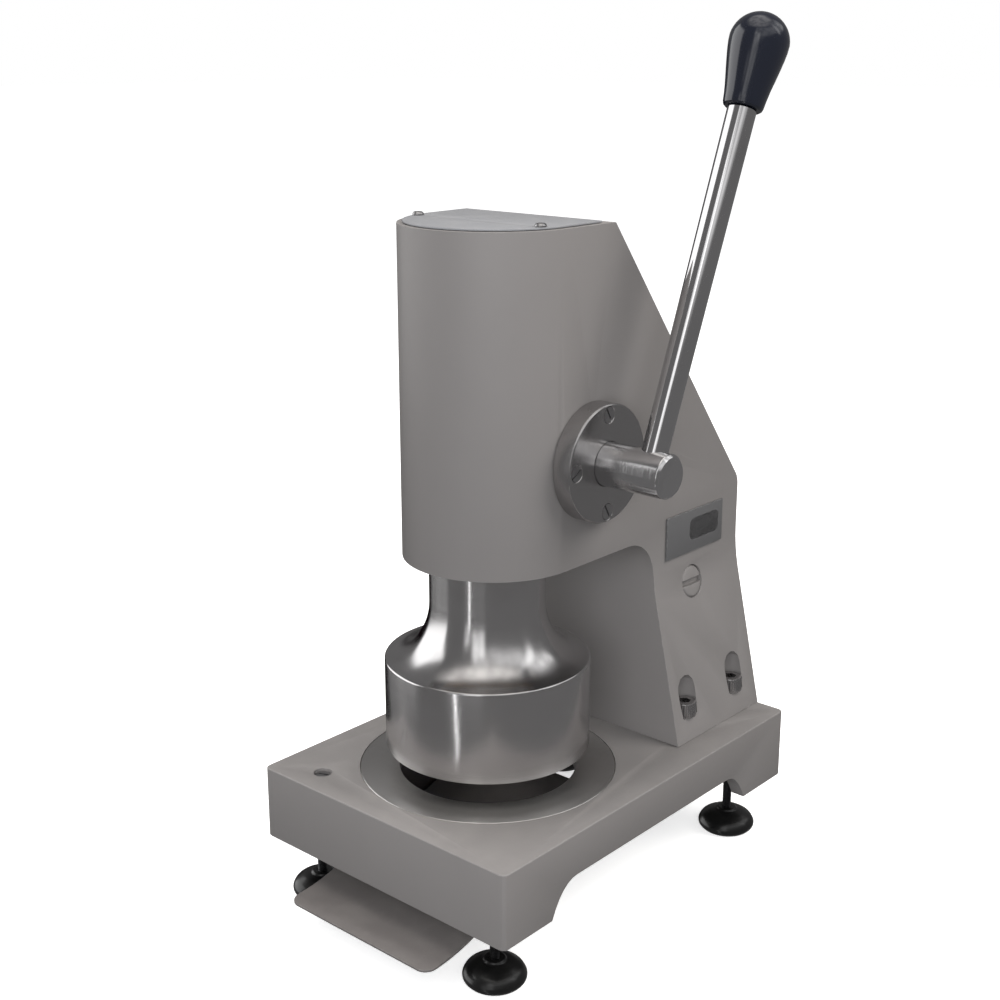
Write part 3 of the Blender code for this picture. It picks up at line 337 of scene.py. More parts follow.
# ---------------------------------------------------------------- finishes
@dataclass(frozen=True)
class Finish:
    """Base of every finish: how its shader is set up."""

    name: str
    colour: Triple
    roughness: float = 0.4

    def start(self, label: str, centre: Vector | None = None,
              turn: Triple = (0.0, 0.0, 0.0)) -> tuple[Material, Tree, Node, Socket]:
        """Make the material with its shader and its coordinates.

        Args:
            label: What the material is called after its finish.
            centre: The point that the pattern is centred on.
            turn: The turn that puts the pattern's Z along the piece's axis.

        Returns:
            The material, its tree, its shader and the vector to read patterns at.
        """
        material = bpy.data.materials.new(self.name + label)
        material.use_nodes = True
        tree = Tree(material.node_tree)
        shader = material.node_tree.nodes["Principled BSDF"]
        place = tree.add("TexCoord").outputs["Object"]
        if centre is not None:
            shift = tree.add("Mapping", vector_type="TEXTURE")
            tree.wire(place, shift.inputs["Vector"])
            shift.inputs["Location"].default_value = centre
            shift.inputs["Rotation"].default_value = turn
            place = shift.outputs["Vector"]
        material.diffuse_color = (*self.colour, 1.0)
        return material, tree, shader, place

    @staticmethod
    def use(tree: Tree, group: NodeTree, vector: object, **values: object) -> Node:
        """Place a shared group in a material.

        Args:
            tree: The material's tree.
            group: The shared group.
            vector: What its Vector input reads.
            values: Its other inputs.

        Returns:
            The group's node.
        """
        node = tree.add("Group")
        node.node_tree = group
        tree.wire(vector, node.inputs["Vector"])
        for name, value in values.items():
            tree.wire(value, node.inputs[name])
        return node

    def mottled(self, effects: Effects, tree: Tree, place: object, amount: float) -> Socket:
        """The finish's own colour with its slow drift.

        Args:
            effects: The shared groups.
            tree: The material's tree.
            place: The vector to read patterns at.
            amount: How far the colour drifts.

        Returns:
            The colour.
        """
        node = self.use(tree, effects.mottle, place, Colour=(*self.colour, 1.0), Amount=amount)
        return node.outputs["Colour"]

    def overlaid(self, tree: Tree, group: NodeTree, place: object, colour: object, share: float,
                 over: Triple, **values: object) -> tuple[Socket, Socket]:
        """Lay a second colour over the first where a shared group's mask is.

        Args:
            tree: The material's tree.
            group: The shared group that gives the mask.
            place: The vector to read patterns at.
            colour: The colour below.
            share: How much of the second colour shows at most.
            over: The second colour.
            values: The group's other inputs.

        Returns:
            The mixed colour and the mask.
        """
        mask = self.use(tree, group, place, **values).outputs["Mask"]
        return tree.mix(tree.sum("MULTIPLY", mask, share), colour, (*over, 1.0)), mask

    def roughen(self, tree: Tree, shader: Node, grain: object, spread: float, *more: Socket) -> None:
        """Vary the roughness over the surface.

        Args:
            tree: The material's tree.
            shader: Its shader.
            grain: The pattern that it follows.
            spread: How far it moves with the pattern.
            more: What else is added to it.
        """
        rough = tree.sum("ADD", self.roughness - spread / 2, tree.sum("MULTIPLY", grain, spread))
        for extra in more:
            rough = tree.sum("ADD", rough, extra)
        tree.wire(rough, shader.inputs["Roughness"])

    @staticmethod
    def bump(tree: Tree, shader: Node, height: object, strength: float, distance: float) -> None:
        """Raise the surface by a height.

        Args:
            tree: The material's tree.
            shader: Its shader.
            height: The height, as a share of the distance.
            strength: How much of it shows.
            distance: What a height of 1 is, in metres.
        """
        node = tree.add("Bump")
        node.inputs["Strength"].default_value = strength
        node.inputs["Distance"].default_value = distance
        tree.wire(height, node.inputs["Height"])
        tree.wire(node.outputs["Normal"], shader.inputs["Normal"])


@dataclass(frozen=True)
class Paint(Finish):
    """Sprayed enamel on a casting or a sheet."""

    # Painted highlight on outer edges: its colour and how much of it shows; reach is how far it reaches.
    highlight_colour: Triple = (0.40, 0.39, 0.38)
    edge_highlight: float = 0.35
    skin: float = 0.06 * MM
    drift: float = 0.10
    spread: float = 0.10
    reach: float = 1.0 * MM
    dust: Triple = (0.50, 0.48, 0.45)
    dusty: float = 0.07
    dust_dull: float = 0.12

    def make(self, effects: Effects, label: str = "") -> Material:
        """Build the material.

        Args:
            effects: The shared groups.
            label: What it is called after its finish.

        Returns:
            The material.
        """
        material, tree, shader, place = self.start(label)
        colour = self.mottled(effects, tree, place, self.drift)
        # Painted highlight: a lighter colour laid on the outer edges.
        colour, _ = self.overlaid(tree, effects.edge_highlight, place, colour, self.edge_highlight, self.highlight_colour, Reach=self.reach)
        colour, dust = self.overlaid(tree, effects.dust, place, colour, self.dusty, self.dust)
        tree.wire(colour, shader.inputs["Base Color"])
        skin = self.use(tree, effects.peel, place)
        dull = tree.sum("MULTIPLY", dust, self.dust_dull)
        self.roughen(tree, shader, skin.outputs["Grain"], self.spread, dull)
        shader.inputs["Specular IOR Level"].default_value = 0.4
        self.bump(tree, shader, skin.outputs["Height"], 0.5, self.skin)
        return material


@dataclass(frozen=True)
class Metal(Finish):
    """Bare metal, turned or ground."""

    lathe: bool = True
    streak: float = 0.0
    marks: float = 0.004 * MM
    spread: float = 0.08
    drift: float = 0.08
    tarnish: Triple = (0.34, 0.32, 0.30)
    tarnished: float = 0.22
    smear_dull: float = 0.04

    def make(self, effects: Effects, label: str = "", centre: Vector | None = None,
             turn: Triple = (0.0, 0.0, 0.0)) -> Material:
        """Build the material.

        Args:
            effects: The shared groups.
            label: What it is called after its finish.
            centre: A point on the axis that it was turned about.
            turn: The turn that puts the pattern's Z along that axis.

        Returns:
            The material.
        """
        material, tree, shader, place = self.start(label, centre, turn)
        colour = self.mottled(effects, tree, place, self.drift)
        smear = tree.span(tree.noise(place, scale=45.0, detail=4.0, rough=0.6), 0.50, 0.85)
        colour = tree.mix(tree.sum("MULTIPLY", smear, self.tarnished), colour, (*self.tarnish, 1.0))
        tree.wire(colour, shader.inputs["Base Color"])
        shader.inputs["Metallic"].default_value = 1.0
        shader.inputs["Anisotropic"].default_value = self.streak
        shader.inputs["Anisotropic Rotation"].default_value = 0.25
        if self.lathe:
            lines = self.use(tree, effects.turned, place)
            height, grain = lines.outputs["Marks"], lines.outputs["Bands"]
        else:
            skin = self.use(tree, effects.peel, place)
            height, grain = skin.outputs["Height"], skin.outputs["Grain"]
        self.roughen(tree, shader, grain, self.spread, tree.sum("MULTIPLY", smear, self.smear_dull))
        self.bump(tree, shader, height, 0.6, self.marks)
        return material


@dataclass(frozen=True)
class Moulding(Finish):
    """Moulded plastic or rubber."""

    coat: float = 0.5
    coat_roughness: float = 0.06
    skin: float = 0.01 * MM
    drift: float = 0.25
    spread: float = 0.06
    # Painted highlight on outer edges: how far it reaches, its colour and how much of it shows.
    reach: float = 0.6 * MM
    glint_colour: Triple = (0.08, 0.08, 0.085)
    glint_share: float = 0.08
    dust: Triple = (0.30, 0.29, 0.28)
    dusty: float = 0.015

    def make(self, effects: Effects, label: str = "") -> Material:
        """Build the material.

        Args:
            effects: The shared groups.
            label: What it is called after its finish.

        Returns:
            The material.
        """
        material, tree, shader, place = self.start(label)
        colour = self.mottled(effects, tree, place, self.drift)
        # Painted highlight: a lighter colour laid on the outer edges.
        colour, _ = self.overlaid(tree, effects.edge_highlight, place, colour, self.glint_share, self.glint_colour,
                                  Reach=self.reach)
        colour, _ = self.overlaid(tree, effects.dust, place, colour, self.dusty, self.dust)
        tree.wire(colour, shader.inputs["Base Color"])
        skin = self.use(tree, effects.peel, place)
        self.roughen(tree, shader, skin.outputs["Grain"], self.spread)
        shader.inputs["Coat Weight"].default_value = self.coat
        shader.inputs["Coat Roughness"].default_value = self.coat_roughness
        self.bump(tree, shader, skin.outputs["Height"], 0.5, self.skin)
        return material


class Finishes:
    """Every finish of the press."""

    PAINT = Paint("grey_enamel", (0.218, 0.207, 0.204), 0.46)
    SHEET = Paint("sheet_enamel", (0.150, 0.138, 0.134), 0.46)
    COVER = Paint("cover_enamel", (0.255, 0.26, 0.275), 0.42)
    POLISHED = Metal("polished_steel", (0.62, 0.61, 0.61), 0.20, streak=0.9, marks=0.008 * MM)
    SHAFT = Metal("turned_steel", (0.66, 0.655, 0.66), 0.13, marks=0.06 * MM)
    ROD = Metal("drawn_steel", (0.64, 0.635, 0.64), 0.10, marks=0.003 * MM)
    DIE = Metal("lapped_steel", (0.70, 0.685, 0.67), 0.38, streak=0.75, marks=0.01 * MM)
    # Blade coloured near black: painted shade for the shadow under the bell.
    SHADOW_BLACK_BLADE = Metal("blade_painted_shade", (0.03, 0.03, 0.03), 0.45)
    FACED = Metal("faced_steel", (0.50, 0.49, 0.49), 0.24, marks=0.006 * MM)
    MACHINED = Metal("milled_steel", (0.46, 0.455, 0.46), 0.30, lathe=False, marks=0.01 * MM)
    BLACKED = Metal("blacked_steel", (0.10, 0.10, 0.105), 0.36, lathe=False, marks=0.01 * MM,
                    tarnish=(0.05, 0.045, 0.04))
    BRONZE = Metal("bush_bronze", (0.56, 0.36, 0.17), 0.30, tarnish=(0.30, 0.17, 0.08))
    SPRING = Metal("spring_wire", (0.22, 0.22, 0.24), 0.34, lathe=False, marks=0.01 * MM)
    KNOB = Moulding("knob_gloss", (0.008, 0.010, 0.018), 0.16)
    FOOT = Moulding("foot_plastic", (0.004, 0.004, 0.004), 0.30, coat=0.15, skin=0.04 * MM)
    RUBBER = Moulding("pad_rubber", (0.018, 0.018, 0.018), 0.62, coat=0.0, skin=0.05 * MM)
    # The lighter edges of this dark plate are painted highlight.
    PLATE = Paint("plate_enamel", (0.115, 0.115, 0.118), 0.36, highlight_colour=(0.36, 0.36, 0.36), edge_highlight=0.5,
                  skin=0.02 * MM)


# ---------------------------------------------------------------- modelling
def clear_hand() -> None:
    """Leave edit mode and deselect everything."""
    if bpy.context.mode != "OBJECT":
        bpy.ops.object.mode_set(mode="OBJECT")
    bpy.ops.object.select_all(action="DESELECT")


def arc(centre: Point, radius: float, start: float, end: float, steps: int) -> list[Point]:
    """Points along a circular arc.

    Args:
        centre: The arc's centre.
        radius: Its radius.
        start: Its first angle in degrees.
        end: Its last angle in degrees.
        steps: How many pieces it has.

    Returns:
        The points, both ends among them.
    """
    angles = (math.radians(start + (end - start) * i / steps) for i in range(steps + 1))
    return [(centre[0] + radius * math.cos(a), centre[1] + radius * math.sin(a)) for a in angles]


def eased(points: list[Triple], steps: int = 4) -> list[Point]:
    """Round the corners of an outline.

    Args:
        points: Corners with the radius that each one gets, 0 for a sharp one.
        steps: How many pieces each round has.

    Returns:
        The outline with its rounds.
    """
    out: list[Point] = []
    for index, (x, y, radius) in enumerate(points):
        here = Vector((x, y))
        if radius <= 0 or index in (0, len(points) - 1):
            out.append((x, y))
            continue
        before = Vector(points[index - 1][:2]) - here
        after = Vector(points[index + 1][:2]) - here
        reach = min(radius, before.length * 0.49, after.length * 0.49)
        first, last = here + before.normalized() * reach, here + after.normalized() * reach
        for step in range(steps + 1):
            t = step / steps
            spot = first * (1 - t) ** 2 + here * (2 * t * (1 - t)) + last * t ** 2
            out.append((spot.x, spot.y))
    return out


def wire(name: str, points: list[Vector]) -> Piece:
    """Draw a line: a small plane is merged to one corner, which is then extruded from point to point.

    Args:
        name: The piece's name.
        points: The places along the line.

    Returns:
        The piece, in edit mode with all of it selected.
    """
    clear_hand()
    bpy.ops.mesh.primitive_plane_add(size=MM, location=(0.0, 0.0, 0.0))
    piece = bpy.context.object
    piece.name = name
    bpy.ops.object.mode_set(mode="EDIT")
    bpy.ops.mesh.select_all(action="SELECT")
    bpy.ops.mesh.merge(type="CENTER")
    bpy.ops.transform.translate(value=points[0])
    for before, after in zip(points, points[1:]):
        bpy.ops.mesh.extrude_vertices_move(TRANSFORM_OT_translate={"value": after - before})
    bpy.ops.mesh.select_all(action="SELECT")
    return piece


def lathe(name: str, profile: list[Point], steps: int = 96, closed: bool = False,
          place: Matrix | None = None) -> Piece:
    """Turn a profile about Z.

    Args:
        name: The piece's name.
        profile: Radius and height of each point, in order.
        steps: Pieces around the turn.
        closed: Whether the last point joins the first, as on a ring.
        place: Where the turned shape goes.

    Returns:
        The piece, in object mode.
    """
    points = [Vector((r, 0.0, z)) for r, z in profile]
    piece = wire(name, points + points[:1] if closed else points)
    bpy.ops.mesh.remove_doubles(threshold=WELD)
    bpy.ops.mesh.spin(steps=steps, angle=math.tau, center=(0.0, 0.0, 0.0), axis=(0.0, 0.0, 1.0))
    return tidy(piece, place)


def tidy(piece: Piece, place: Matrix | None = None, angle: float = SOFT) -> Piece:
    """Merge, face outwards, place and smooth a piece.

    Args:
        piece: The piece, in edit or object mode.
        place: Where it goes, if it isn't there yet.
        angle: Edges sharper than this stay sharp.

    Returns:
        The piece, in object mode, with its place in its mesh.
    """
    if bpy.context.mode == "OBJECT":
        grasp(piece)
        bpy.ops.object.mode_set(mode="EDIT")
    bpy.ops.mesh.select_all(action="SELECT")
    bpy.ops.mesh.remove_doubles(threshold=WELD)
    bpy.ops.mesh.normals_make_consistent(inside=False)
    bpy.ops.object.mode_set(mode="OBJECT")
    if place is not None:
        piece.matrix_world = place @ piece.matrix_world
    bpy.ops.object.transform_apply(location=True, rotation=True, scale=True)
    bpy.ops.object.shade_smooth_by_angle(angle=math.radians(angle))
    return piece


def grasp(piece: Piece) -> None:
    """Select one piece alone and make it active.

    Args:
        piece: The piece.
    """
    clear_hand()
    piece.select_set(True)
    bpy.context.view_layer.objects.active = piece


def pick(piece: Piece, kind: str, test: Callable[[object], bool]) -> None:
    """Open a piece in edit mode and select some of its parts.

    Args:
        piece: The piece.
        kind: What is picked: verts, edges or faces.
        test: Says of each one whether it is picked.
    """
    if bpy.context.mode == "OBJECT":
        grasp(piece)
        bpy.ops.object.mode_set(mode="EDIT")
    bpy.ops.mesh.select_all(action="DESELECT")
    shape = bmesh.from_edit_mesh(piece.data)
    for part in getattr(shape, kind):
        part.select_set(test(part))
    bmesh.update_edit_mesh(piece.data)


def placed(piece: Piece, place: Matrix) -> Piece:
    """Carry a piece to its place and keep that place in its mesh.

    Args:
        piece: The piece.
        place: Where it goes.

    Returns:
        The piece.
    """
    piece.matrix_world = place @ piece.matrix_world
    grasp(piece)
    bpy.ops.object.transform_apply(location=True, rotation=True, scale=True)
    return piece


def copy_of(first: Piece, name: str) -> Piece:
    """Copy a piece with its own mesh.

    Args:
        first: The piece that is copied.
        name: The copy's name.

    Returns:
        The copy, linked to the scene.
    """
    piece = first.copy()
    piece.data = first.data.copy()
    bpy.context.scene.collection.objects.link(piece)
    piece.name = name
    return piece


def finish_with(piece: Piece, kind: str, **settings: object) -> None:
    """Add a modifier and apply it.

    Args:
        piece: The piece.
        kind: The modifier's type.
        settings: Its settings.
    """
    grasp(piece)
    modifier = piece.modifiers.new(kind.lower(), kind)
    for name, value in settings.items():
        setattr(modifier, name, value)
    bpy.ops.object.modifier_apply(modifier=modifier.name)


def carve(piece: Piece, tools: list[Piece]) -> Piece:
    """Cut tools out of a piece and remove them.

    Args:
        piece: The piece.
        tools: Closed shapes to cut away.

    Returns:
        The piece.
    """
    for tool in tools:
        finish_with(piece, "BOOLEAN", operation="DIFFERENCE", solver="EXACT", object=tool)
        bpy.data.objects.remove(tool)
    return piece


def fuse(name: str, pieces: list[Piece]) -> Piece:
    """Join pieces into one object.

    Args:
        name: The joined piece's name.
        pieces: What is joined; the first one leads.

    Returns:
        The joined piece.
    """
    clear_hand()
    for piece in pieces:
        piece.select_set(True)
    bpy.context.view_layer.objects.active = pieces[0]
    bpy.ops.object.join()
    pieces[0].name = name
    return pieces[0]


def block(name: str, low: Vector, high: Vector) -> Piece:
    """A plain block between two corners, which is a start for a shape.

    Args:
        name: The piece's name.
        low: Its lowest corner.
        high: Its highest corner.

    Returns:
        The block, in object mode.
    """
    clear_hand()
    bpy.ops.mesh.primitive_cube_add(size=1.0, location=(Vector(low) + Vector(high)) / 2)
    piece = bpy.context.object
    piece.name = name
    piece.scale = Vector(high) - Vector(low)
    bpy.ops.object.transform_apply(location=True, rotation=True, scale=True)
    return piece


def rod_tool(radius: float, low: float, high: float, place: Matrix, sides: int = 32,
             tip: float | None = None) -> Piece:
    """A cutting tool: a cylinder, prism or cone along its own Z.

    Args:
        radius: Its radius at the low end.
        low: Where it starts along Z.
        high: Where it ends along Z.
        place: Where it stands.
        sides: How many sides it has.
        tip: Its radius at the high end, if that differs.

    Returns:
        The tool, in object mode.
    """
    clear_hand()
    bpy.ops.mesh.primitive_cone_add(vertices=sides, radius1=radius, radius2=radius if tip is None else tip,
                                    depth=high - low, location=(0.0, 0.0, (low + high) / 2))
    return placed(bpy.context.object, place)


def slot_tool(half_width: float, depth: float, top: float, place: Matrix) -> Piece:
    """A cutting tool for a screwdriver slot across local X.

    Args:
        half_width: Half the slot's width.
        depth: How deep it goes below the top.
        top: The height of the screw's top.
        place: Where the screw stands.

    Returns:
        The tool, in object mode.
    """
    reach, clear = 30 * MM, 10 * MM
    low, high = Vector((-reach, -half_width, top - depth)), Vector((reach, half_width, top + clear))
    return placed(block("slot_tool", low, high), place)


def refined(node: str, name: str, width: float, segments: int = 3) -> Piece:
    """Take a copy of a CAD solid and round its outer edges.

    Args:
        node: The CAD node that is copied.
        name: The piece's name.
        width: How far each round reaches from its edge.
        segments: Pieces in each round.

    Returns:
        The piece, in object mode.
    """
    clear_hand()
    piece = copy_of(frame["nodes"][node], name)
    piece.parent = None
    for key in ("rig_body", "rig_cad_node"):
        del piece[key]
    grasp(piece)
    bpy.ops.mesh.customdata_custom_splitnormals_clear()
    bpy.ops.object.mode_set(mode="EDIT")
    bpy.ops.mesh.select_all(action="SELECT")
    bpy.ops.mesh.remove_doubles(threshold=0.005 * MM)
    bpy.ops.mesh.dissolve_limited(angle_limit=FLAT)
    pick(piece, "edges",
         lambda edge: len(edge.link_faces) == 2 and abs(edge.calc_face_angle_signed()) > SHARP)
    bpy.ops.mesh.bevel(offset=width, segments=segments, profile=0.5, clamp_overlap=True)
    return tidy(piece, None, CRISP)


@dataclass
class Maker:
    """Base of each sub-assembly: gives pieces their material and body, and hides the CAD nodes that they
    stand for.
    """

    effects: Effects

    def fit(self, piece: Piece, material: Material, body: Body, slot: Slot, *nodes: str) -> None:
        """Dress a finished piece and hang it on its body.

        Args:
            piece: The piece.
            material: What it is made of.
            body: The body that it moves with.
            slot: The record's finish; not used.
            nodes: The CAD nodes that it stands for.
        """
        piece.data.materials.clear()
        piece.data.materials.append(material)
        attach(piece, body.value)
        if nodes:
            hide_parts(*nodes)
        LOG.info("%s: %d faces on %s", piece.name, len(piece.data.polygons), body.value)

    @staticmethod
    def dress(material: Material, *nodes: str) -> None:
        """Give CAD nodes that stay a better material.

        Args:
            material: What they are made of.
            nodes: Their names.
        """
        for node in nodes:
            slots = frame["nodes"][node].data.materials
            slots.clear()
            slots.append(material)
            LOG.info("%s keeps its shape", node)


def middle_of(node: str) -> Vector:
    """The middle of a CAD node's box."""
    low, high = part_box(node)
    return (low + high) / 2


ALONG_X = Matrix.Rotation(math.pi / 2, 4, "Y")
ALONG_MINUS_X = Matrix.Rotation(-math.pi / 2, 4, "Y")
TURNED_ABOUT_X = (0.0, math.pi / 2, 0.0)


@dataclass(frozen=True)
class SlottedScrew:
    """A turned screw with a slot; its depths are measured down from the top of its head."""

    crown: float
    crown_round: float
    head: float
    rim_depth: float
    rim_round: float
    head_depth: float
    shank: float
    slot_half: float
    slot_depth: float
    dome: float = 0.0
    under_round: float = 0.0
    steps: int = 4
    sides: int = 40

    def make(self, name: str, top: float, end: float, place: Matrix, turn: float = 0.0) -> Piece:
        """Turn the screw and cut its slot.

        Args:
            name: The piece's name.
            top: The top of its head along its own Z.
            end: The end of its shank along its own Z.
            place: Where it stands.
            turn: How far its slot is turned in its head, in radians.

        Returns:
            The screw, in object mode.
        """
        seat = top - self.head_depth
        profile = eased([(0.0, top + self.dome, 0), (self.crown, top, self.crown_round),
                         (self.head, top - self.rim_depth, self.rim_round),
                         (self.head, seat, self.under_round), (self.shank, seat, 0), (self.shank, end, 0),
                         (0.0, end, 0)], self.steps)
        screw = lathe(name, profile, self.sides, place=place)
        slot = slot_tool(self.slot_half, self.slot_depth, top, place @ Matrix.Rotation(turn, 4, "Z"))
        return tidy(carve(screw, [slot]))


# ---------------------------------------------------------------- castings
@dataclass
class Castings(Maker):
    """Base, C-frame, cover, nameplate, side plug and column bolts."""

    base_round: float = 0.5 * MM
    frame_round: float = 0.9 * MM
    cover_round: float = 0.35 * MM
    cover_screw: SlottedScrew = SlottedScrew(
        crown=2.6 * MM, crown_round=0.4 * MM, head=3.6 * MM, rim_depth=1.3 * MM, rim_round=0.4 * MM,
        head_depth=1.8 * MM, under_round=0.1 * MM, shank=1.8 * MM, slot_half=0.45 * MM, slot_depth=0.9 * MM)
    cover_screw_turn: float = 0.9
    plate_rim: float = 1.3 * MM
    plate_sunk: float = 0.5 * MM
    panel_root: float = 0.9 * MM
    panel_low: tuple[float, float] = (25 * MM, 7.5 * MM)
    panel_high: tuple[float, float] = (4.5 * MM, 5.5 * MM)
    panel_corner: float = 5.0 * MM
    rivet: float = 1.1 * MM
    rivet_dome: float = 0.4 * MM
    rivet_inset: float = 2.9 * MM
    flank_lean: float = math.atan2(21.0, 96.0)
    plug_out: float = 4.6 * MM
    plug_root: float = 9.0 * MM
    plug_dome: float = 0.8 * MM
    plug_slot: tuple[float, float] = (2.2 * MM, 3.4 * MM)
    bolt_head: float = 8.0 * MM
    bolt_head_tall: float = 10.0 * MM
    bolt_shank: float = 5.0 * MM
    bolt_sides: int = 72
    bolt_groove: float = 0.965
    bolt_turn: float = 0.3
    socket: float = 4.3 * MM
    socket_deep: float = 5.0 * MM

    def build(self) -> None:
        """Make every piece of the group."""
        self.casting("base_casting", "base_body", self.base_round, 2, "_base")
        self.casting("frame_casting", "frame_body", self.frame_round, 3, "_frame")
        self.cover()
        self.plate()
        self.plug()
        self.bolts()

    def casting(self, node: str, name: str, edge: float, segments: int, label: str) -> None:
        """A painted casting, with its edges softened by casting and paint.

        Args:
            node: Its CAD node.
            name: The piece's name.
            edge: How far its rounds reach.
            segments: Pieces in each round.
            label: What its material is called after the finish.
        """
        piece = refined(node, name, edge, segments)
        self.fit(piece, Finishes.PAINT.make(self.effects, label), Body.FRAME, Slot.PAINT, node)

    def cover(self) -> None:
        """Thin cover over the head and its two screws."""
        piece = refined("top_cover", "head_cover", self.cover_round, 3)
        self.fit(piece, Finishes.COVER.make(self.effects), Body.FRAME, Slot.COVER, "top_cover")
        steel = Finishes.MACHINED.make(self.effects, "_cover_screw")
        for side in ("left", "right"):
            node = "cover_screw_" + side
            low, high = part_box(node)
            spot = middle_of(node)
            place = Matrix.Translation((spot.x, spot.y, 0.0)) @ Matrix.Rotation(self.cover_screw_turn, 4, "Z")
            screw = self.cover_screw.make("cover_screw_head_" + side, high.z, low.z, place)
            self.fit(screw, steel, Body.FRAME, Slot.MACHINED, node)

    def plate(self) -> None:
        """Blank cast plate: a raised rim, a plain raised panel and four rivets."""
        low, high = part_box("nameplate")
        piece = block("maker_plate", low, high)
        pick(piece, "faces", lambda side: side.normal.x > 0.9)
        bpy.ops.mesh.inset(thickness=self.plate_rim, depth=0.0)
        bpy.ops.mesh.extrude_region_move(TRANSFORM_OT_translate={"value": (-self.plate_sunk, 0.0, 0.0)})
        bpy.ops.object.mode_set(mode="OBJECT")
        finish_with(piece, "BEVEL", width=0.2 * MM, segments=2, limit_method="ANGLE")
        parts = [tidy(piece, None, CRISP), self.panel(low, high)]
        root, dome = -self.panel_root, self.rivet_dome
        profile = [(0.0, root)] + eased([(self.rivet, root, 0), (self.rivet, dome / 8, 0.3 * MM),
                                         (0.5 * MM, dome * 0.875, 0.3 * MM), (0.0, dome, 0)], 3)
        for y in (low.y + self.rivet_inset, high.y - self.rivet_inset):
            for z in (low.z + self.rivet_inset, high.z - self.rivet_inset):
                place = Matrix.Translation((high.x - self.plate_sunk, y, z)) @ ALONG_X
                parts.append(lathe("rivet", profile, 16, place=place))
        steel = Finishes.PLATE.make(self.effects)
        self.fit(fuse("maker_plate", parts), steel, Body.FRAME, Slot.PLATE, "nameplate")

    def panel(self, low: Vector, high: Vector) -> Piece:
        """The plate's plain raised panel, with round corners.

        Args:
            low: The plate's lowest corner.
            high: Its highest corner.

        Returns:
            The panel, in object mode.
        """
        start = Vector((high.x - self.panel_root, low.y + self.panel_low[0], low.z + self.panel_low[1]))
        end = Vector((high.x, high.y - self.panel_high[0], high.z - self.panel_high[1]))
        panel = block("panel", start, end)
        pick(panel, "edges", lambda edge: abs((edge.verts[1].co - edge.verts[0].co).normalized().x) > 0.9)
        bpy.ops.mesh.bevel(offset=self.panel_corner, segments=6)
        bpy.ops.object.mode_set(mode="OBJECT")
        finish_with(panel, "BEVEL", width=0.5 * MM, segments=3, limit_method="ANGLE")
        return tidy(panel, None, CRISP)

    def plug(self) -> None:
        """Painted round plug in the flank, with a wide slot."""
        low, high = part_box("side_plug")
        normal = Vector((math.cos(self.flank_lean), 0.0, math.sin(self.flank_lean)))
        turn = Matrix.Rotation(math.pi / 2 - self.flank_lean, 4, "Y")
        place = Matrix.Translation(middle_of("side_plug") + normal * self.plug_out) @ turn
        radius = (high.y - low.y) / 2
        profile = eased([(0.0, -self.plug_root, 0), (radius, -self.plug_root, 0.3 * MM),
                         (radius, -1.3 * MM, 0.2 * MM), (radius - 1.2 * MM, 0.3 * MM, 0.8 * MM),
                         (radius * 0.6, self.plug_dome - 0.1 * MM, 3 * MM), (0.0, self.plug_dome, 0)], 5)
        piece = lathe("flank_plug", profile, 64, place=place)
        half, deep = self.plug_slot
        tool = block("slot_tool", Vector((-half, -20 * MM, -deep)), Vector((half, 20 * MM, 5 * MM)))
        carve(piece, [placed(tool, place)])
        finish_with(piece, "BEVEL", width=0.3 * MM, segments=2, limit_method="ANGLE",
                    angle_limit=math.radians(40))
        paint = Finishes.PAINT.make(self.effects, "_plug")
        self.fit(tidy(piece, None, CRISP), paint, Body.FRAME, Slot.PAINT, "side_plug")

    def socket_bolt(self, name: str, bottom: float, top: float) -> Piece:
        """A cap screw on the Z axis, with a grooved head and a hexagon socket.

        Args:
            name: The piece's name.
            bottom: The shank's end.
            top: The head's top.

        Returns:
            The screw, in object mode.
        """
        head, shank, seat = self.bolt_head, self.bolt_shank, top - self.bolt_head_tall
        chamfer = 1.0 * MM
        profile = eased([(0.0, top, 0), (head, top, 0.8 * MM), (head, seat, 0.3 * MM), (shank, seat, 0),
                         (shank, bottom + chamfer, 0), (shank - chamfer, bottom, 0), (0.0, bottom, 0)], 3)
        bolt = lathe(name, profile, self.bolt_sides)
        step, outside = math.tau / self.bolt_sides, head * 0.985
        pick(bolt, "verts", lambda spot: (round(math.atan2(spot.co.y, spot.co.x) / step) % 2 == 0
                                          and spot.co.xy.length > outside))
        shrink = (self.bolt_groove, self.bolt_groove, 1.0)
        bpy.ops.transform.resize(value=shrink, center_override=(0.0, 0.0, seat))
        bpy.ops.object.mode_set(mode="OBJECT")
        low, high = top - self.socket_deep, top + self.socket_deep
        return carve(bolt, [rod_tool(self.socket, low, high, Matrix.Identity(4), 6)])

    def bolts(self) -> None:
        """Four column bolts, modelled once."""
        low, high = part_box("column_bolt_rear_right")
        steel = Finishes.FACED.make(self.effects, "_bolt")
        first = self.socket_bolt("bolt_model", low.z, high.z)
        for corner in CORNERS:
            node = "column_bolt_" + corner
            piece = copy_of(first, node + "_detail")
            spot = middle_of(node)
            placed(piece, Matrix.Translation((spot.x, spot.y, 0.0)) @ Matrix.Rotation(self.bolt_turn, 4, "Z"))
            self.fit(tidy(piece), steel, Body.FRAME, Slot.MACHINED, node)
        bpy.data.objects.remove(first)


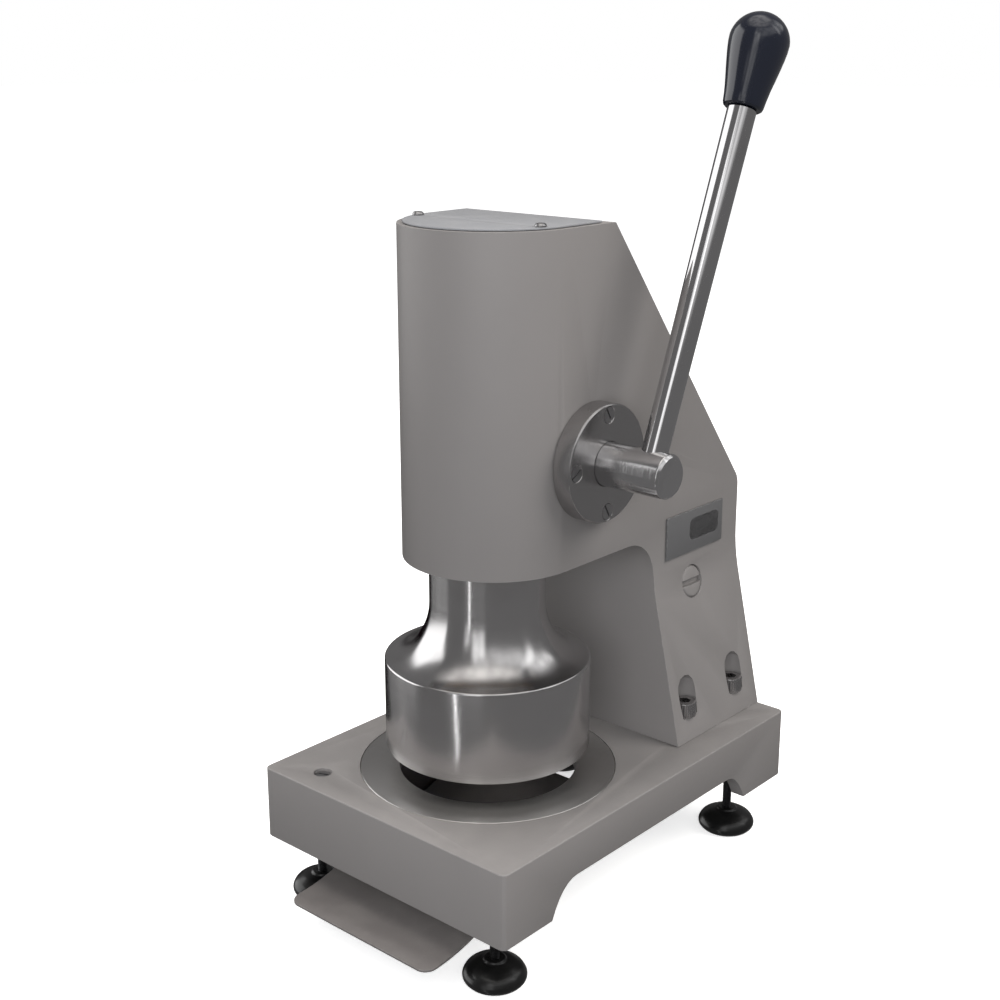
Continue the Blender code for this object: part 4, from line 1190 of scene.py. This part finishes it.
# ---------------------------------------------------------------- bearings
@dataclass
class Bearings(Maker):
    """Right flange with its slotted screws, and the left cap."""

    flange_thick: float = 13.0 * MM
    flange_gap: float = 0.3 * MM
    flange_edge: float = 0.9 * MM
    flange_spigot: float = 25.0 * MM
    shaft_play: float = 0.15 * MM
    hole: float = 2.8 * MM
    sink: tuple[float, float, float] = (2.6 * MM, 5.4 * MM, 3.0 * MM)
    flange_screw: SlottedScrew = SlottedScrew(
        crown=5.0 * MM, crown_round=0.15 * MM, head=2.5 * MM, rim_depth=2.6 * MM, rim_round=0.0,
        head_depth=2.6 * MM, shank=2.5 * MM, slot_half=0.6 * MM, slot_depth=1.3 * MM, steps=3, sides=48)
    cap_thick: float = 7.7 * MM
    cap_edge: float = 1.0 * MM
    cap_groove: tuple[float, float] = (5.0 * MM, 16.0 * MM)
    cap_groove_deep: float = 0.4 * MM
    cap_spigot: float = 20.0 * MM
    cap_bore: float = 10.15 * MM
    cap_wall: float = 2.5 * MM
    cap_screw: SlottedScrew = SlottedScrew(
        crown=2.6 * MM, crown_round=0.8 * MM, head=4.0 * MM, rim_depth=1.1 * MM, rim_round=0.5 * MM,
        head_depth=2.1 * MM, shank=2.0 * MM, slot_half=0.5 * MM, slot_depth=1.1 * MM)

    def build(self) -> None:
        """Make every piece of the group."""
        self.flange()
        self.cap()

    def flange(self) -> None:
        """Turned flange with four countersunk slotted screws."""
        low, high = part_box("bearing_flange")
        shaft_low, shaft_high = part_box("lever_shaft")
        centre = Vector((0.0, (low.y + high.y) / 2, (low.z + high.z) / 2))
        radius, face, edge = (high.z - low.z) / 2, high.x, self.flange_edge
        back = face - self.flange_thick + self.flange_gap
        bore = (shaft_high.z - shaft_low.z) / 2 + self.shaft_play
        profile = eased([(bore, face - 0.4 * MM, 0), (bore + 0.4 * MM, face, 0.1 * MM),
                         (radius - edge, face, 0.2 * MM), (radius, face - edge, 0.2 * MM), (radius, back, 0),
                         (self.flange_spigot, back, 0), (self.flange_spigot, low.x, 0), (bore, low.x, 0)], 3)
        piece = lathe("shaft_flange", profile, 128, True, Matrix.Translation(centre) @ ALONG_X)
        steel = Finishes.FACED.make(self.effects, "_flange", centre, TURNED_ABOUT_X)
        screw_steel = Finishes.MACHINED.make(self.effects, "_flange_screw")
        small, wide, deep = self.sink
        tools = []
        for word, turn in (("top", 30), ("bottom", 30), ("front", -60), ("rear", -60)):
            node = "flange_screw_" + word
            spot = middle_of(node)
            place = Matrix.Translation((0.0, spot.y, spot.z)) @ ALONG_X
            tools.append(rod_tool(small, face - deep, face + 0.02 * MM, place, 40, wide))
            tools.append(rod_tool(self.hole, face - 30 * MM, face - 2 * MM, place, 32))
            end, top = (corner.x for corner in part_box(node))
            screw = self.flange_screw.make("flange_screw_head_" + word, top, end, place, math.radians(turn))
            self.fit(screw, screw_steel, Body.FRAME, Slot.MACHINED, node)
        carve(piece, tools)
        self.fit(tidy(piece), steel, Body.FRAME, Slot.POLISHED, "bearing_flange")

    def cap(self) -> None:
        """Closed cap on the left side with three pan-head screws."""
        low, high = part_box("left_bearing_cap")
        centre = Vector((0.0, (low.y + high.y) / 2, (low.z + high.z) / 2))
        radius, face, inner, soft = (high.z - low.z) / 2, -low.x, -high.x, 0.5 * MM
        seat, floor, ceiling = face - self.cap_thick, face - self.cap_groove_deep, face - self.cap_wall
        start, end = self.cap_groove
        profile = eased([(0.0, face, 0), (start, face, soft), (start + 1 * MM, floor, soft),
                         (end - 1 * MM, floor, soft), (end, face, soft),
                         (radius - self.cap_edge, face, 0.3 * MM), (radius, face - self.cap_edge, 0.3 * MM),
                         (radius, seat, 0), (self.cap_spigot, seat, 0), (self.cap_spigot, inner, 0),
                         (self.cap_bore, inner, 0), (self.cap_bore, ceiling, 0), (0.0, ceiling, 0)], 3)
        piece = lathe("shaft_cap", profile, 96, place=Matrix.Translation(centre) @ ALONG_MINUS_X)
        face_steel = Finishes.FACED.make(self.effects, "_cap", centre, TURNED_ABOUT_X)
        self.fit(piece, face_steel, Body.FRAME, Slot.POLISHED, "left_bearing_cap")
        steel = Finishes.MACHINED.make(self.effects, "_cap_screw")
        for number in (1, 2, 3):
            node = f"cap_screw_{number}"
            outer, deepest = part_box(node)
            spot = middle_of(node)
            place = Matrix.Translation((0.0, spot.y, spot.z)) @ ALONG_MINUS_X
            screw = self.cap_screw.make(f"cap_screw_head_{number}", -outer.x, -deepest.x, place, 0.7 * number)
            self.fit(screw, steel, Body.FRAME, Slot.MACHINED, node)


# ---------------------------------------------------------------- punch and die
@dataclass
class Punch(Maker):
    """Bell, blade, die plate and what slides with the ram."""

    rim: float = 163.0 * MM
    neck_start: float = 199.0 * MM
    neck: float = 36.5 * MM
    neck_edge: float = 0.6 * MM
    rod_seat: float = 12.2 * MM
    rod_seat_low: float = 196.0 * MM
    bolt_hole: float = 6.5 * MM
    ceiling: float = 144.5 * MM
    cup: float = 57.0 * MM
    rim_edge: float = 1.3 * MM
    foot_edge: float = 0.5 * MM
    die_bore: float = 56.6 * MM
    die_edge: float = 0.6 * MM
    bore_edge: float = 0.15 * MM

    def build(self) -> None:
        """Make every piece of the group."""
        self.bell()
        self.die()
        self.inner()

    def bell(self) -> None:
        """The bell: neck, concave flare, rounded rim and deep skirt."""
        low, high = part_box("punch_bell")
        centre = Vector(((low.x + high.x) / 2, (low.y + high.y) / 2, 0.0))
        radius, bottom, top = (high.x - low.x) / 2, low.z, high.z
        rise, run, edge, foot = self.neck_start - self.rim, radius - self.neck, self.rim_edge, self.foot_edge
        outer = [(self.rod_seat, top), (self.neck - self.neck_edge, top), (self.neck, top - self.neck_edge)]
        outer += [(radius - run * math.cos(t), self.neck_start - rise * math.sin(t))
                  for t in (math.radians(a) for a in range(0, 85, 4))]
        outer += arc((radius - edge, self.rim - edge), edge, 86, 0, 6)
        outer += [(radius, bottom + foot), (radius - foot * 0.3, bottom + foot * 0.3)]
        outer += [(radius - foot, bottom), (self.cup, bottom), (self.cup, self.ceiling),
                  (self.bolt_hole, self.ceiling), (self.bolt_hole, self.rod_seat_low),
                  (self.rod_seat, self.rod_seat_low)]
        piece = lathe("bell", outer, 160, True, Matrix.Translation(centre))
        steel = Finishes.POLISHED.make(self.effects, "_bell", centre)
        self.fit(piece, steel, Body.RAM, Slot.POLISHED, "punch_bell")

    def die(self) -> None:
        """Die plate: a lapped ring with broken edges."""
        low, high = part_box("die_plate")
        centre = Vector(((low.x + high.x) / 2, (low.y + high.y) / 2, 0.0))
        outer, bore, edge = (high.x - low.x) / 2, self.die_bore, self.die_edge
        profile = eased([(bore, low.z, 0), (outer, low.z, 0), (outer, high.z - edge, 0.2 * MM),
                         (outer - edge, high.z, 0.2 * MM), (bore + self.bore_edge, high.z, 0.05 * MM),
                         (bore, high.z - self.bore_edge, 0)], 3)
        piece = lathe("die_ring", profile, 160, True, Matrix.Translation(centre))
        steel = Finishes.DIE.make(self.effects, "_die", centre)
        self.fit(piece, steel, Body.FRAME, Slot.POLISHED, "die_plate")

    def inner(self) -> None:
        """Finishes of the parts inside."""
        centre = middle_of("rack_rod")
        self.dress(Finishes.MACHINED.make(self.effects, "_ram"), "rack_rod", "spring_collar", "rod_nut",
                   "punch_bolt")
        # The ring blade gets a near-black colour: painted shade beneath the bell.
        self.dress(Finishes.SHADOW_BLACK_BLADE.make(self.effects, "", centre), "ring_blade")
        self.dress(Finishes.RUBBER.make(self.effects), "ejector_pad")
        self.dress(Finishes.BRONZE.make(self.effects, "", centre), "neck_bush", "upper_bush")
        self.dress(Finishes.SPRING.make(self.effects), "return_spring")
        self.dress(Finishes.MACHINED.make(self.effects, "_gear"), "rack_pinion", "pinion_key",
                   "pinion_collar", "guide_bridge")
        screws = ["die_screw_" + corner for corner in CORNERS]
        for kind in ("bridge", "bracket", "chute"):
            screws += [f"{kind}_screw_left", f"{kind}_screw_right"]
        self.dress(Finishes.BLACKED.make(self.effects, "_inner_screw"), *screws)


# ---------------------------------------------------------------- lever
@dataclass
class Lever(Maker):
    """Shaft, bar and knob."""

    lean: float = math.radians(22.1)
    root: float = 7.9 * MM
    tip: float = 8.8 * MM
    length: float = 220.0 * MM
    shoulder: float = 30.0 * MM
    inner_end: float = 8.7 * MM
    edge: float = 0.5 * MM
    spigot: float = 5.9 * MM
    shaft_edge: float = 2.0 * MM
    journal: float = 10.0 * MM
    journal_start: float = 14.0 * MM
    gap: float = 0.1 * MM
    knob_gap: float = 0.3 * MM
    knob: float = 58.0 * MM
    knob_bore: float = 6.1 * MM
    belly: float = 18.0 * MM
    axis: Vector = field(init=False)
    place: Matrix = field(init=False)

    def build(self) -> None:
        """Make every piece of the group."""
        low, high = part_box("lever_shaft")
        self.axis = Vector((0.0, (low.y + high.y) / 2, (low.z + high.z) / 2))
        root = Vector((middle_of("lever_knob").x, self.axis.y, self.axis.z))
        self.place = Matrix.Translation(root) @ Matrix.Rotation(-self.lean, 4, "X")
        self.shaft(low, high)
        self.bar()
        self.grip()

    def shaft(self, low: Vector, high: Vector) -> None:
        """Polished shaft with a chamfered end, the hole for the bar and the seat for the key.

        Args:
            low: The shaft's lowest corner.
            high: Its highest corner.
        """
        radius, journal, edge = (high.z - low.z) / 2, self.journal, self.shaft_edge
        step = middle_of("punch_bell").x + self.journal_start
        profile = eased([(0.0, high.x, 0), (radius - edge, high.x, 0.5 * MM),
                         (radius, high.x - edge, 0.5 * MM), (radius, step, 0), (journal, step, 0),
                         (journal, low.x + edge / 2, 0), (journal - edge / 2, low.x, 0), (0.0, low.x, 0)], 4)
        piece = lathe("drive_shaft", profile, 96, place=Matrix.Translation(self.axis) @ ALONG_X)
        carve(piece, [rod_tool(self.root + 2 * self.gap, -9 * MM, self.shoulder, self.place, 64)])
        seat_low, seat_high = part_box("pinion_key")
        below, above = Vector((5, 1, 2)) * self.gap, Vector((5, 1, 1)) * self.gap
        carve(piece, [block("seat", seat_low - below, seat_high + above)])
        steel = Finishes.SHAFT.make(self.effects, "_shaft", self.axis, TURNED_ABOUT_X)
        self.fit(tidy(piece), steel, Body.LEVER, Slot.POLISHED, "lever_shaft")

    def bar(self) -> None:
        """Tapered bar from the shaft into the knob."""
        end, neck, edge = self.length + self.shoulder, self.length - self.knob_gap, self.edge
        profile = eased([(0.0, end, 0), (self.spigot - edge, end, 0), (self.spigot, end - edge, 0),
                         (self.spigot, neck, 0), (self.tip - edge, neck, 0.1 * MM),
                         (self.tip, neck - edge, 0.1 * MM), (self.root, self.shoulder, 6 * MM),
                         (self.root, edge - self.inner_end, 0), (self.root - edge, -self.inner_end, 0),
                         (0.0, -self.inner_end, 0)], 4)
        piece = lathe("lever_arm", profile, 72, place=self.place)
        steel = Finishes.ROD.make(self.effects, "_arm", self.place.translation, (-self.lean, 0.0, 0.0))
        self.fit(piece, steel, Body.LEVER, Slot.POLISHED, "lever_bar")

    def grip(self) -> None:
        """Pear-shaped gloss knob on the bar's end."""
        start, bottom = self.length, self.length + self.shoulder + self.knob_gap
        top = start + self.knob
        waist = [(10.6, 0.0), (11.7, 0.9), (12.2, 2.4), (12.7, 7.0), (13.6, 13.0), (14.9, 20.0), (16.2, 27.0),
                 (17.2, 33.0), (17.8, 38.0)]
        profile = [(0.0, bottom), (self.knob_bore, bottom), (self.knob_bore, start + 0.4 * MM),
                   (self.knob_bore + 0.4 * MM, start)]
        profile += [(r * MM, start + z * MM) for r, z in waist]
        profile += arc((0.0, top - self.belly), self.belly, 6, 83, 11)
        profile += [(0.0, top)]
        piece = lathe("knob", profile, 72, place=self.place)
        self.fit(piece, Finishes.KNOB.make(self.effects), Body.LEVER, Slot.PLASTIC, "lever_knob")


# ---------------------------------------------------------------- chute and feet
@dataclass
class Chute(Maker):
    """Sheet chute under the base and its hangers."""

    half: float = 60.0 * MM
    slope: float = math.radians(15.0)
    thick: float = 1.6 * MM
    corner: float = 8.0 * MM
    knee: Point = (24.0 * MM, 19.5 * MM)
    knee_round: float = 12.0 * MM

    def build(self) -> None:
        """Make every piece of the group."""
        self.sheet()
        steel = Finishes.MACHINED.make(self.effects, "_bracket")
        self.dress(steel, "chute_bracket_left", "chute_bracket_right")

    def sheet(self) -> None:
        """Bent sheet: its side line is drawn, swept across, rounded at the corners and thickened."""
        low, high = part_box("catch_chute")
        knee_y, knee_z = low.y + self.knee[0], self.knee[1]
        rear_z = knee_z + (high.y - knee_y) * math.tan(self.slope)
        lip_z = low.z + self.thick
        side = eased([(high.y, rear_z, 0), (knee_y, knee_z, self.knee_round), (low.y, lip_z, 0)], 10)
        middle = (low.x + high.x) / 2
        piece = wire("chute_sheet", [Vector((middle - self.half, y, z)) for y, z in side])
        bpy.ops.mesh.extrude_region_move(TRANSFORM_OT_translate={"value": (2 * self.half, 0.0, 0.0)})
        lip = low.y + 0.1 * MM
        pick(piece, "verts", lambda spot: spot.co.y < lip)
        bpy.ops.mesh.bevel(offset=self.corner, segments=8, affect="VERTICES", clamp_overlap=False)
        bpy.ops.mesh.select_all(action="SELECT")
        bpy.ops.mesh.normals_make_consistent(inside=False)
        shape = bmesh.from_edit_mesh(piece.data)
        shape.faces.ensure_lookup_table()
        if shape.faces[0].normal.z < 0:
            bpy.ops.mesh.flip_normals()
        bpy.ops.object.mode_set(mode="OBJECT")
        finish_with(piece, "SOLIDIFY", thickness=self.thick, offset=-1.0)
        finish_with(piece, "BEVEL", width=0.3 * MM, segments=2, limit_method="ANGLE",
                    angle_limit=math.radians(50))
        enamel = Finishes.SHEET.make(self.effects)
        self.fit(tidy(piece, None, CRISP), enamel, Body.FRAME, Slot.PAINT, "catch_chute")


@dataclass
class Feet(Maker):
    """Four levelling feet: a moulded pad on a threaded stud."""

    hole: float = 3.3 * MM
    hub: float = 6.3 * MM
    hole_floor: float = 6.0 * MM
    pitch: float = 1.0 * MM
    thread_deep: float = 0.55 * MM
    chamfer: float = 0.5 * MM

    def build(self) -> None:
        """Model one foot and copy it to every corner."""
        pad, stud = self.pad(), self.stud()
        plastic = Finishes.FOOT.make(self.effects)
        steel = Finishes.BLACKED.make(self.effects, "_stud")
        parts = ((pad, "foot_pad_", plastic, Slot.PLASTIC), (stud, "foot_stud_", steel, Slot.MACHINED))
        for corner in CORNERS:
            spot = middle_of("foot_pad_" + corner)
            for first, kind, material, slot in parts:
                piece = copy_of(first, f"{kind}{corner}_detail")
                placed(piece, Matrix.Translation((spot.x, spot.y, 0.0)))
                self.fit(tidy(piece), material, Body("foot_" + corner), slot, kind + corner)
        bpy.data.objects.remove(pad)
        bpy.data.objects.remove(stud)

    def pad(self) -> Piece:
        """Mushroom pad with a hub round the stud.

        Returns:
            The pad, standing on the origin.
        """
        low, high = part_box("foot_pad_front_left")
        radius, top, hole = (high.x - low.x) / 2, high.z, self.hole
        outline = [(0.0, self.hole_floor, 0), (hole, self.hole_floor, 0), (hole, top, 0.3 * MM),
                   (self.hub, top, 0.8 * MM), (self.hub + 0.9 * MM, top - 1.6 * MM, 1.2 * MM),
                   (11.5 * MM, top - 2.6 * MM, 3 * MM), (17.4 * MM, 9.4 * MM, 4 * MM),
                   (radius, 5.2 * MM, 2.4 * MM), (radius - 0.4 * MM, 2.6 * MM, 1 * MM),
                   (16.6 * MM, 0.0, 0.8 * MM), (0.0, 0.0, 0)]
        return lathe("pad_model", eased(outline, 5), 72)

    def stud(self) -> Piece:
        """Threaded stud.

        Returns:
            The stud, on the Z axis.
        """
        low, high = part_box("foot_stud_front_left")
        radius = (high.x - low.x) / 2
        profile: list[Point] = [(0.0, low.z), (radius - self.chamfer, low.z)]
        height, root = low.z + self.chamfer, radius - self.thread_deep
        while height < high.z - 1.2 * MM:
            profile += [(radius, height), (radius, height + 0.15 * self.pitch),
                        (root, height + 0.5 * self.pitch), (root, height + 0.62 * self.pitch)]
            height += self.pitch
        profile += [(radius - 0.6 * MM, high.z), (0.0, high.z)]
        return lathe("stud_model", profile, 28)


@dataclass
class BaseScrew(Maker):
    """Small slotted screw in the base top."""

    shape: SlottedScrew = SlottedScrew(
        crown=3.4 * MM, crown_round=2.0 * MM, head=5.5 * MM, rim_depth=0.8 * MM, rim_round=0.4 * MM,
        head_depth=2.0 * MM, shank=2.9 * MM, slot_half=0.6 * MM, slot_depth=1.1 * MM, dome=0.1 * MM, sides=48)
    turn: float = 0.35

    def build(self) -> None:
        """Make the screw."""
        low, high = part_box("base_screw")
        spot = middle_of("base_screw")
        place = Matrix.Translation((spot.x, spot.y, 0.0)) @ Matrix.Rotation(self.turn, 4, "Z")
        screw = self.shape.make("deck_screw", high.z, low.z, place)
        steel = Finishes.MACHINED.make(self.effects, "_deck")
        self.fit(screw, steel, Body.FRAME, Slot.MACHINED, "base_screw")


# ---------------------------------------------------------------- studio
@dataclass
class Softbox:
    """A soft patch of light or dark in the surroundings that gloss reflects, in degrees."""

    azimuth: float
    half_width: float
    low: float
    high: float
    light: float
    soft: float = 4.0
    tint: Triple = (1.0, 1.0, 1.0)


@dataclass(frozen=True)
class Lamp:
    """A round soft lamp, in metres and watts."""

    name: str
    place: Triple
    size: float
    power: float
    tint: Triple = (1.0, 1.0, 1.0)


@dataclass
class Studio:
    """Floor, surroundings, lights and camera."""

    eye: Triple = (0.5891, -0.7020, 0.5305)
    heading: float = 41.34
    pitch: float = 15.42
    lens: float = 54.67
    shift: tuple[float, float] = (-0.002, -0.0321)
    target: Triple = (0.0, 0.0, 0.2)
    floor_size: float = 40.0
    floor_glow: float = 0.62
    floor_shades: tuple[float, float] = (0.93, 0.95)
    room: float = 0.165
    lights: tuple[Lamp, ...] = (Lamp("key_lamp", (-0.7, -0.2, 2.4), 1.8, 36.0, (1.0, 0.97, 0.93)),
                                Lamp("fill_lamp", (1.05, -1.4, 0.6), 1.6, 24.0, (0.98, 0.99, 1.0)),
                                Lamp("rear_lamp", (1.25, 0.65, 1.5), 1.2, 24.0, (1.0, 0.97, 0.93)))
    ambient: float = 0.38
    bright_side: float = -125.0
    bright_side_gain: float = 0.15
    cloudy_above: float = 6.0
    boxes: list[Softbox] = field(default_factory=lambda: [
        Softbox(-158.0, 28.0, -9.0, 38.0, 1.6, 6.0),
        Softbox(-160.0, 8.0, -60.0, -9.0, 0.05, 6.0),
        Softbox(-65.0, 11.0, -2.0, 40.0, 1.1, 9.0),
        Softbox(-83.6, 0.45, -75.0, -8.0, 7.0, 0.4),
        Softbox(-85.0, 5.0, -10.0, 20.0, 0.7, 8.0),
        Softbox(0.0, 75.0, 27.0, 54.0, 0.62, 10.0),
        Softbox(30.0, 7.0, 20.0, 60.0, 0.8, 8.0),
        Softbox(62.0, 10.0, 26.0, 44.0, 0.7, 8.0),
        Softbox(0.0, 200.0, 60.0, 100.0, 1.1, 14.0, (1.0, 0.97, 0.93)),
        Softbox(150.0, 20.0, -70.0, 4.0, -0.14, 8.0),
    ])

    def build(self) -> None:
        """Set up the whole studio."""
        self.floor()
        self.surroundings()
        self.lamps()
        self.camera()
        bpy.context.scene.view_settings.view_transform = "Standard"

    def floor(self) -> None:
        """Plain pale floor."""
        clear_hand()
        bpy.ops.mesh.primitive_plane_add(size=self.floor_size, location=(0.0, 0.0, 0.0))
        floor = bpy.context.object
        floor.name = "studio_floor"
        material = bpy.data.materials.new("pale_floor")
        material.use_nodes = True
        tree = Tree(material.node_tree)
        shader = material.node_tree.nodes["Principled BSDF"]
        place = tree.add("TexCoord").outputs["Object"]
        shade = tree.span(tree.noise(place, scale=2.0, detail=2.0), 0.3, 0.7)
        dark, light = ((level, level, level, 1.0) for level in self.floor_shades)
        tree.wire(tree.mix(shade, dark, light), shader.inputs["Base Color"])
        shader.inputs["Roughness"].default_value = 0.9
        shader.inputs["Specular IOR Level"].default_value = 0.0
        shader.inputs["Emission Color"].default_value = (1.0, 1.0, 1.0, 1.0)
        shader.inputs["Emission Strength"].default_value = self.floor_glow
        floor.data.materials.append(material)
        floor.visible_glossy = False
        floor.visible_diffuse = False

    def surroundings(self) -> None:
        """Soft light all round, with softboxes that only gloss shows."""
        world = bpy.data.worlds.new("studio_world")
        bpy.context.scene.world = world
        world.use_nodes = True
        world.cycles.sampling_method = "NONE"
        tree = Tree(world.node_tree)
        background = world.node_tree.nodes["Background"]
        parts = tree.add("SeparateXYZ")
        way = tree.add("TexCoord").outputs["Generated"]
        tree.wire(way, parts.inputs[0])
        azimuth = tree.sum("DEGREES", tree.sum("ARCTAN2", parts.outputs[1], parts.outputs[0]))
        elevation = tree.sum("DEGREES", tree.sum("ARCSINE", parts.outputs[2]))
        gloss: object = (self.room, self.room * 0.985, self.room * 0.99)
        clouds = tree.span(tree.noise(way, scale=5.0, detail=3.0, rough=0.6), 0.32, 0.62, 0.45, 1.25)
        for box in self.boxes:
            mask = self.patch(tree, azimuth, elevation, box)
            amount = tree.sum("MULTIPLY", mask, box.light)
            if box.soft > self.cloudy_above:
                amount = tree.sum("MULTIPLY", amount, clouds)
            node = tree.add("VectorMath", operation="MULTIPLY_ADD")
            tree.wire(box.tint, node.inputs[0])
            spread = tree.add("CombineXYZ")
            for index in range(3):
                tree.wire(amount, spread.inputs[index])
            tree.wire(spread.outputs[0], node.inputs[1])
            tree.wire(gloss, node.inputs[2])
            gloss = node.outputs[0]
        up = tree.span(parts.outputs[2], -0.25, 1.0, 0.42, 1.75, False)
        toward = tree.sum("COSINE", tree.sum("RADIANS", tree.sum("SUBTRACT", azimuth, self.bright_side)))
        gain = tree.sum("MULTIPLY", toward, self.bright_side_gain)
        soft = tree.sum("MULTIPLY", up, tree.sum("ADD", self.ambient, gain))
        path = tree.add("LightPath")
        shade = tree.mix(path.outputs["Is Glossy Ray"], soft, gloss)
        shade = tree.mix(path.outputs["Is Camera Ray"], shade, (1.0, 1.0, 1.0, 1.0))
        tree.wire(shade, background.inputs["Color"])

    @staticmethod
    def patch(tree: Tree, azimuth: object, elevation: object, box: Softbox) -> Socket:
        """Mask of one softbox in the surroundings.

        Args:
            tree: The world's tree.
            azimuth: The direction's angle round the press, in degrees.
            elevation: Its angle above the floor, in degrees.
            box: The softbox.

        Returns:
            The mask, from 0 to 1.
        """
        turn = tree.sum("SUBTRACT", azimuth, box.azimuth)
        away = tree.sum("ABSOLUTE", tree.sum("WRAP", turn, 180.0, -180.0))
        sides = tree.span(away, box.half_width - box.soft / 2, box.half_width + box.soft / 2, 1.0, 0.0)
        above = tree.span(elevation, box.low - box.soft / 2, box.low + box.soft / 2)
        below = tree.span(elevation, box.high - box.soft / 2, box.high + box.soft / 2, 1.0, 0.0)
        return tree.sum("MULTIPLY", sides, tree.sum("MULTIPLY", above, below))

    def lamps(self) -> None:
        """Large soft lamps, each turned to the press."""
        for lamp in self.lights:
            data = bpy.data.lights.new(lamp.name, "AREA")
            data.shape = "DISK"
            data.size, data.energy, data.color = lamp.size, lamp.power, lamp.tint
            holder = bpy.data.objects.new(lamp.name, data)
            bpy.context.scene.collection.objects.link(holder)
            holder.location = lamp.place
            aim = Vector(self.target) - holder.location
            holder.rotation_euler = aim.to_track_quat("-Z", "Y").to_euler()
            holder.visible_glossy = False

    def camera(self) -> None:
        """The camera at the viewing angle."""
        data = bpy.data.cameras.new("main_camera")
        data.lens = self.lens
        data.sensor_width = 36.0
        data.shift_x, data.shift_y = self.shift
        data.clip_start, data.clip_end = 0.01, 100.0
        camera = bpy.data.objects.new("main_camera", data)
        bpy.context.scene.collection.objects.link(camera)
        camera.location = self.eye
        camera.rotation_euler = (math.radians(90.0 - self.pitch), 0.0, math.radians(self.heading))
        bpy.context.scene.camera = camera


def main() -> None:
    """Build every group in order and set up the studio."""
    logging.basicConfig(level=logging.INFO, format="%(name)s: %(message)s")
    effects = Effects()
    for maker in (Castings, Bearings, Punch, Lever, Chute, Feet, BaseScrew):
        maker(effects).build()
    Studio().build()
    clear_hand()


if __name__ == "__main__":
    main()
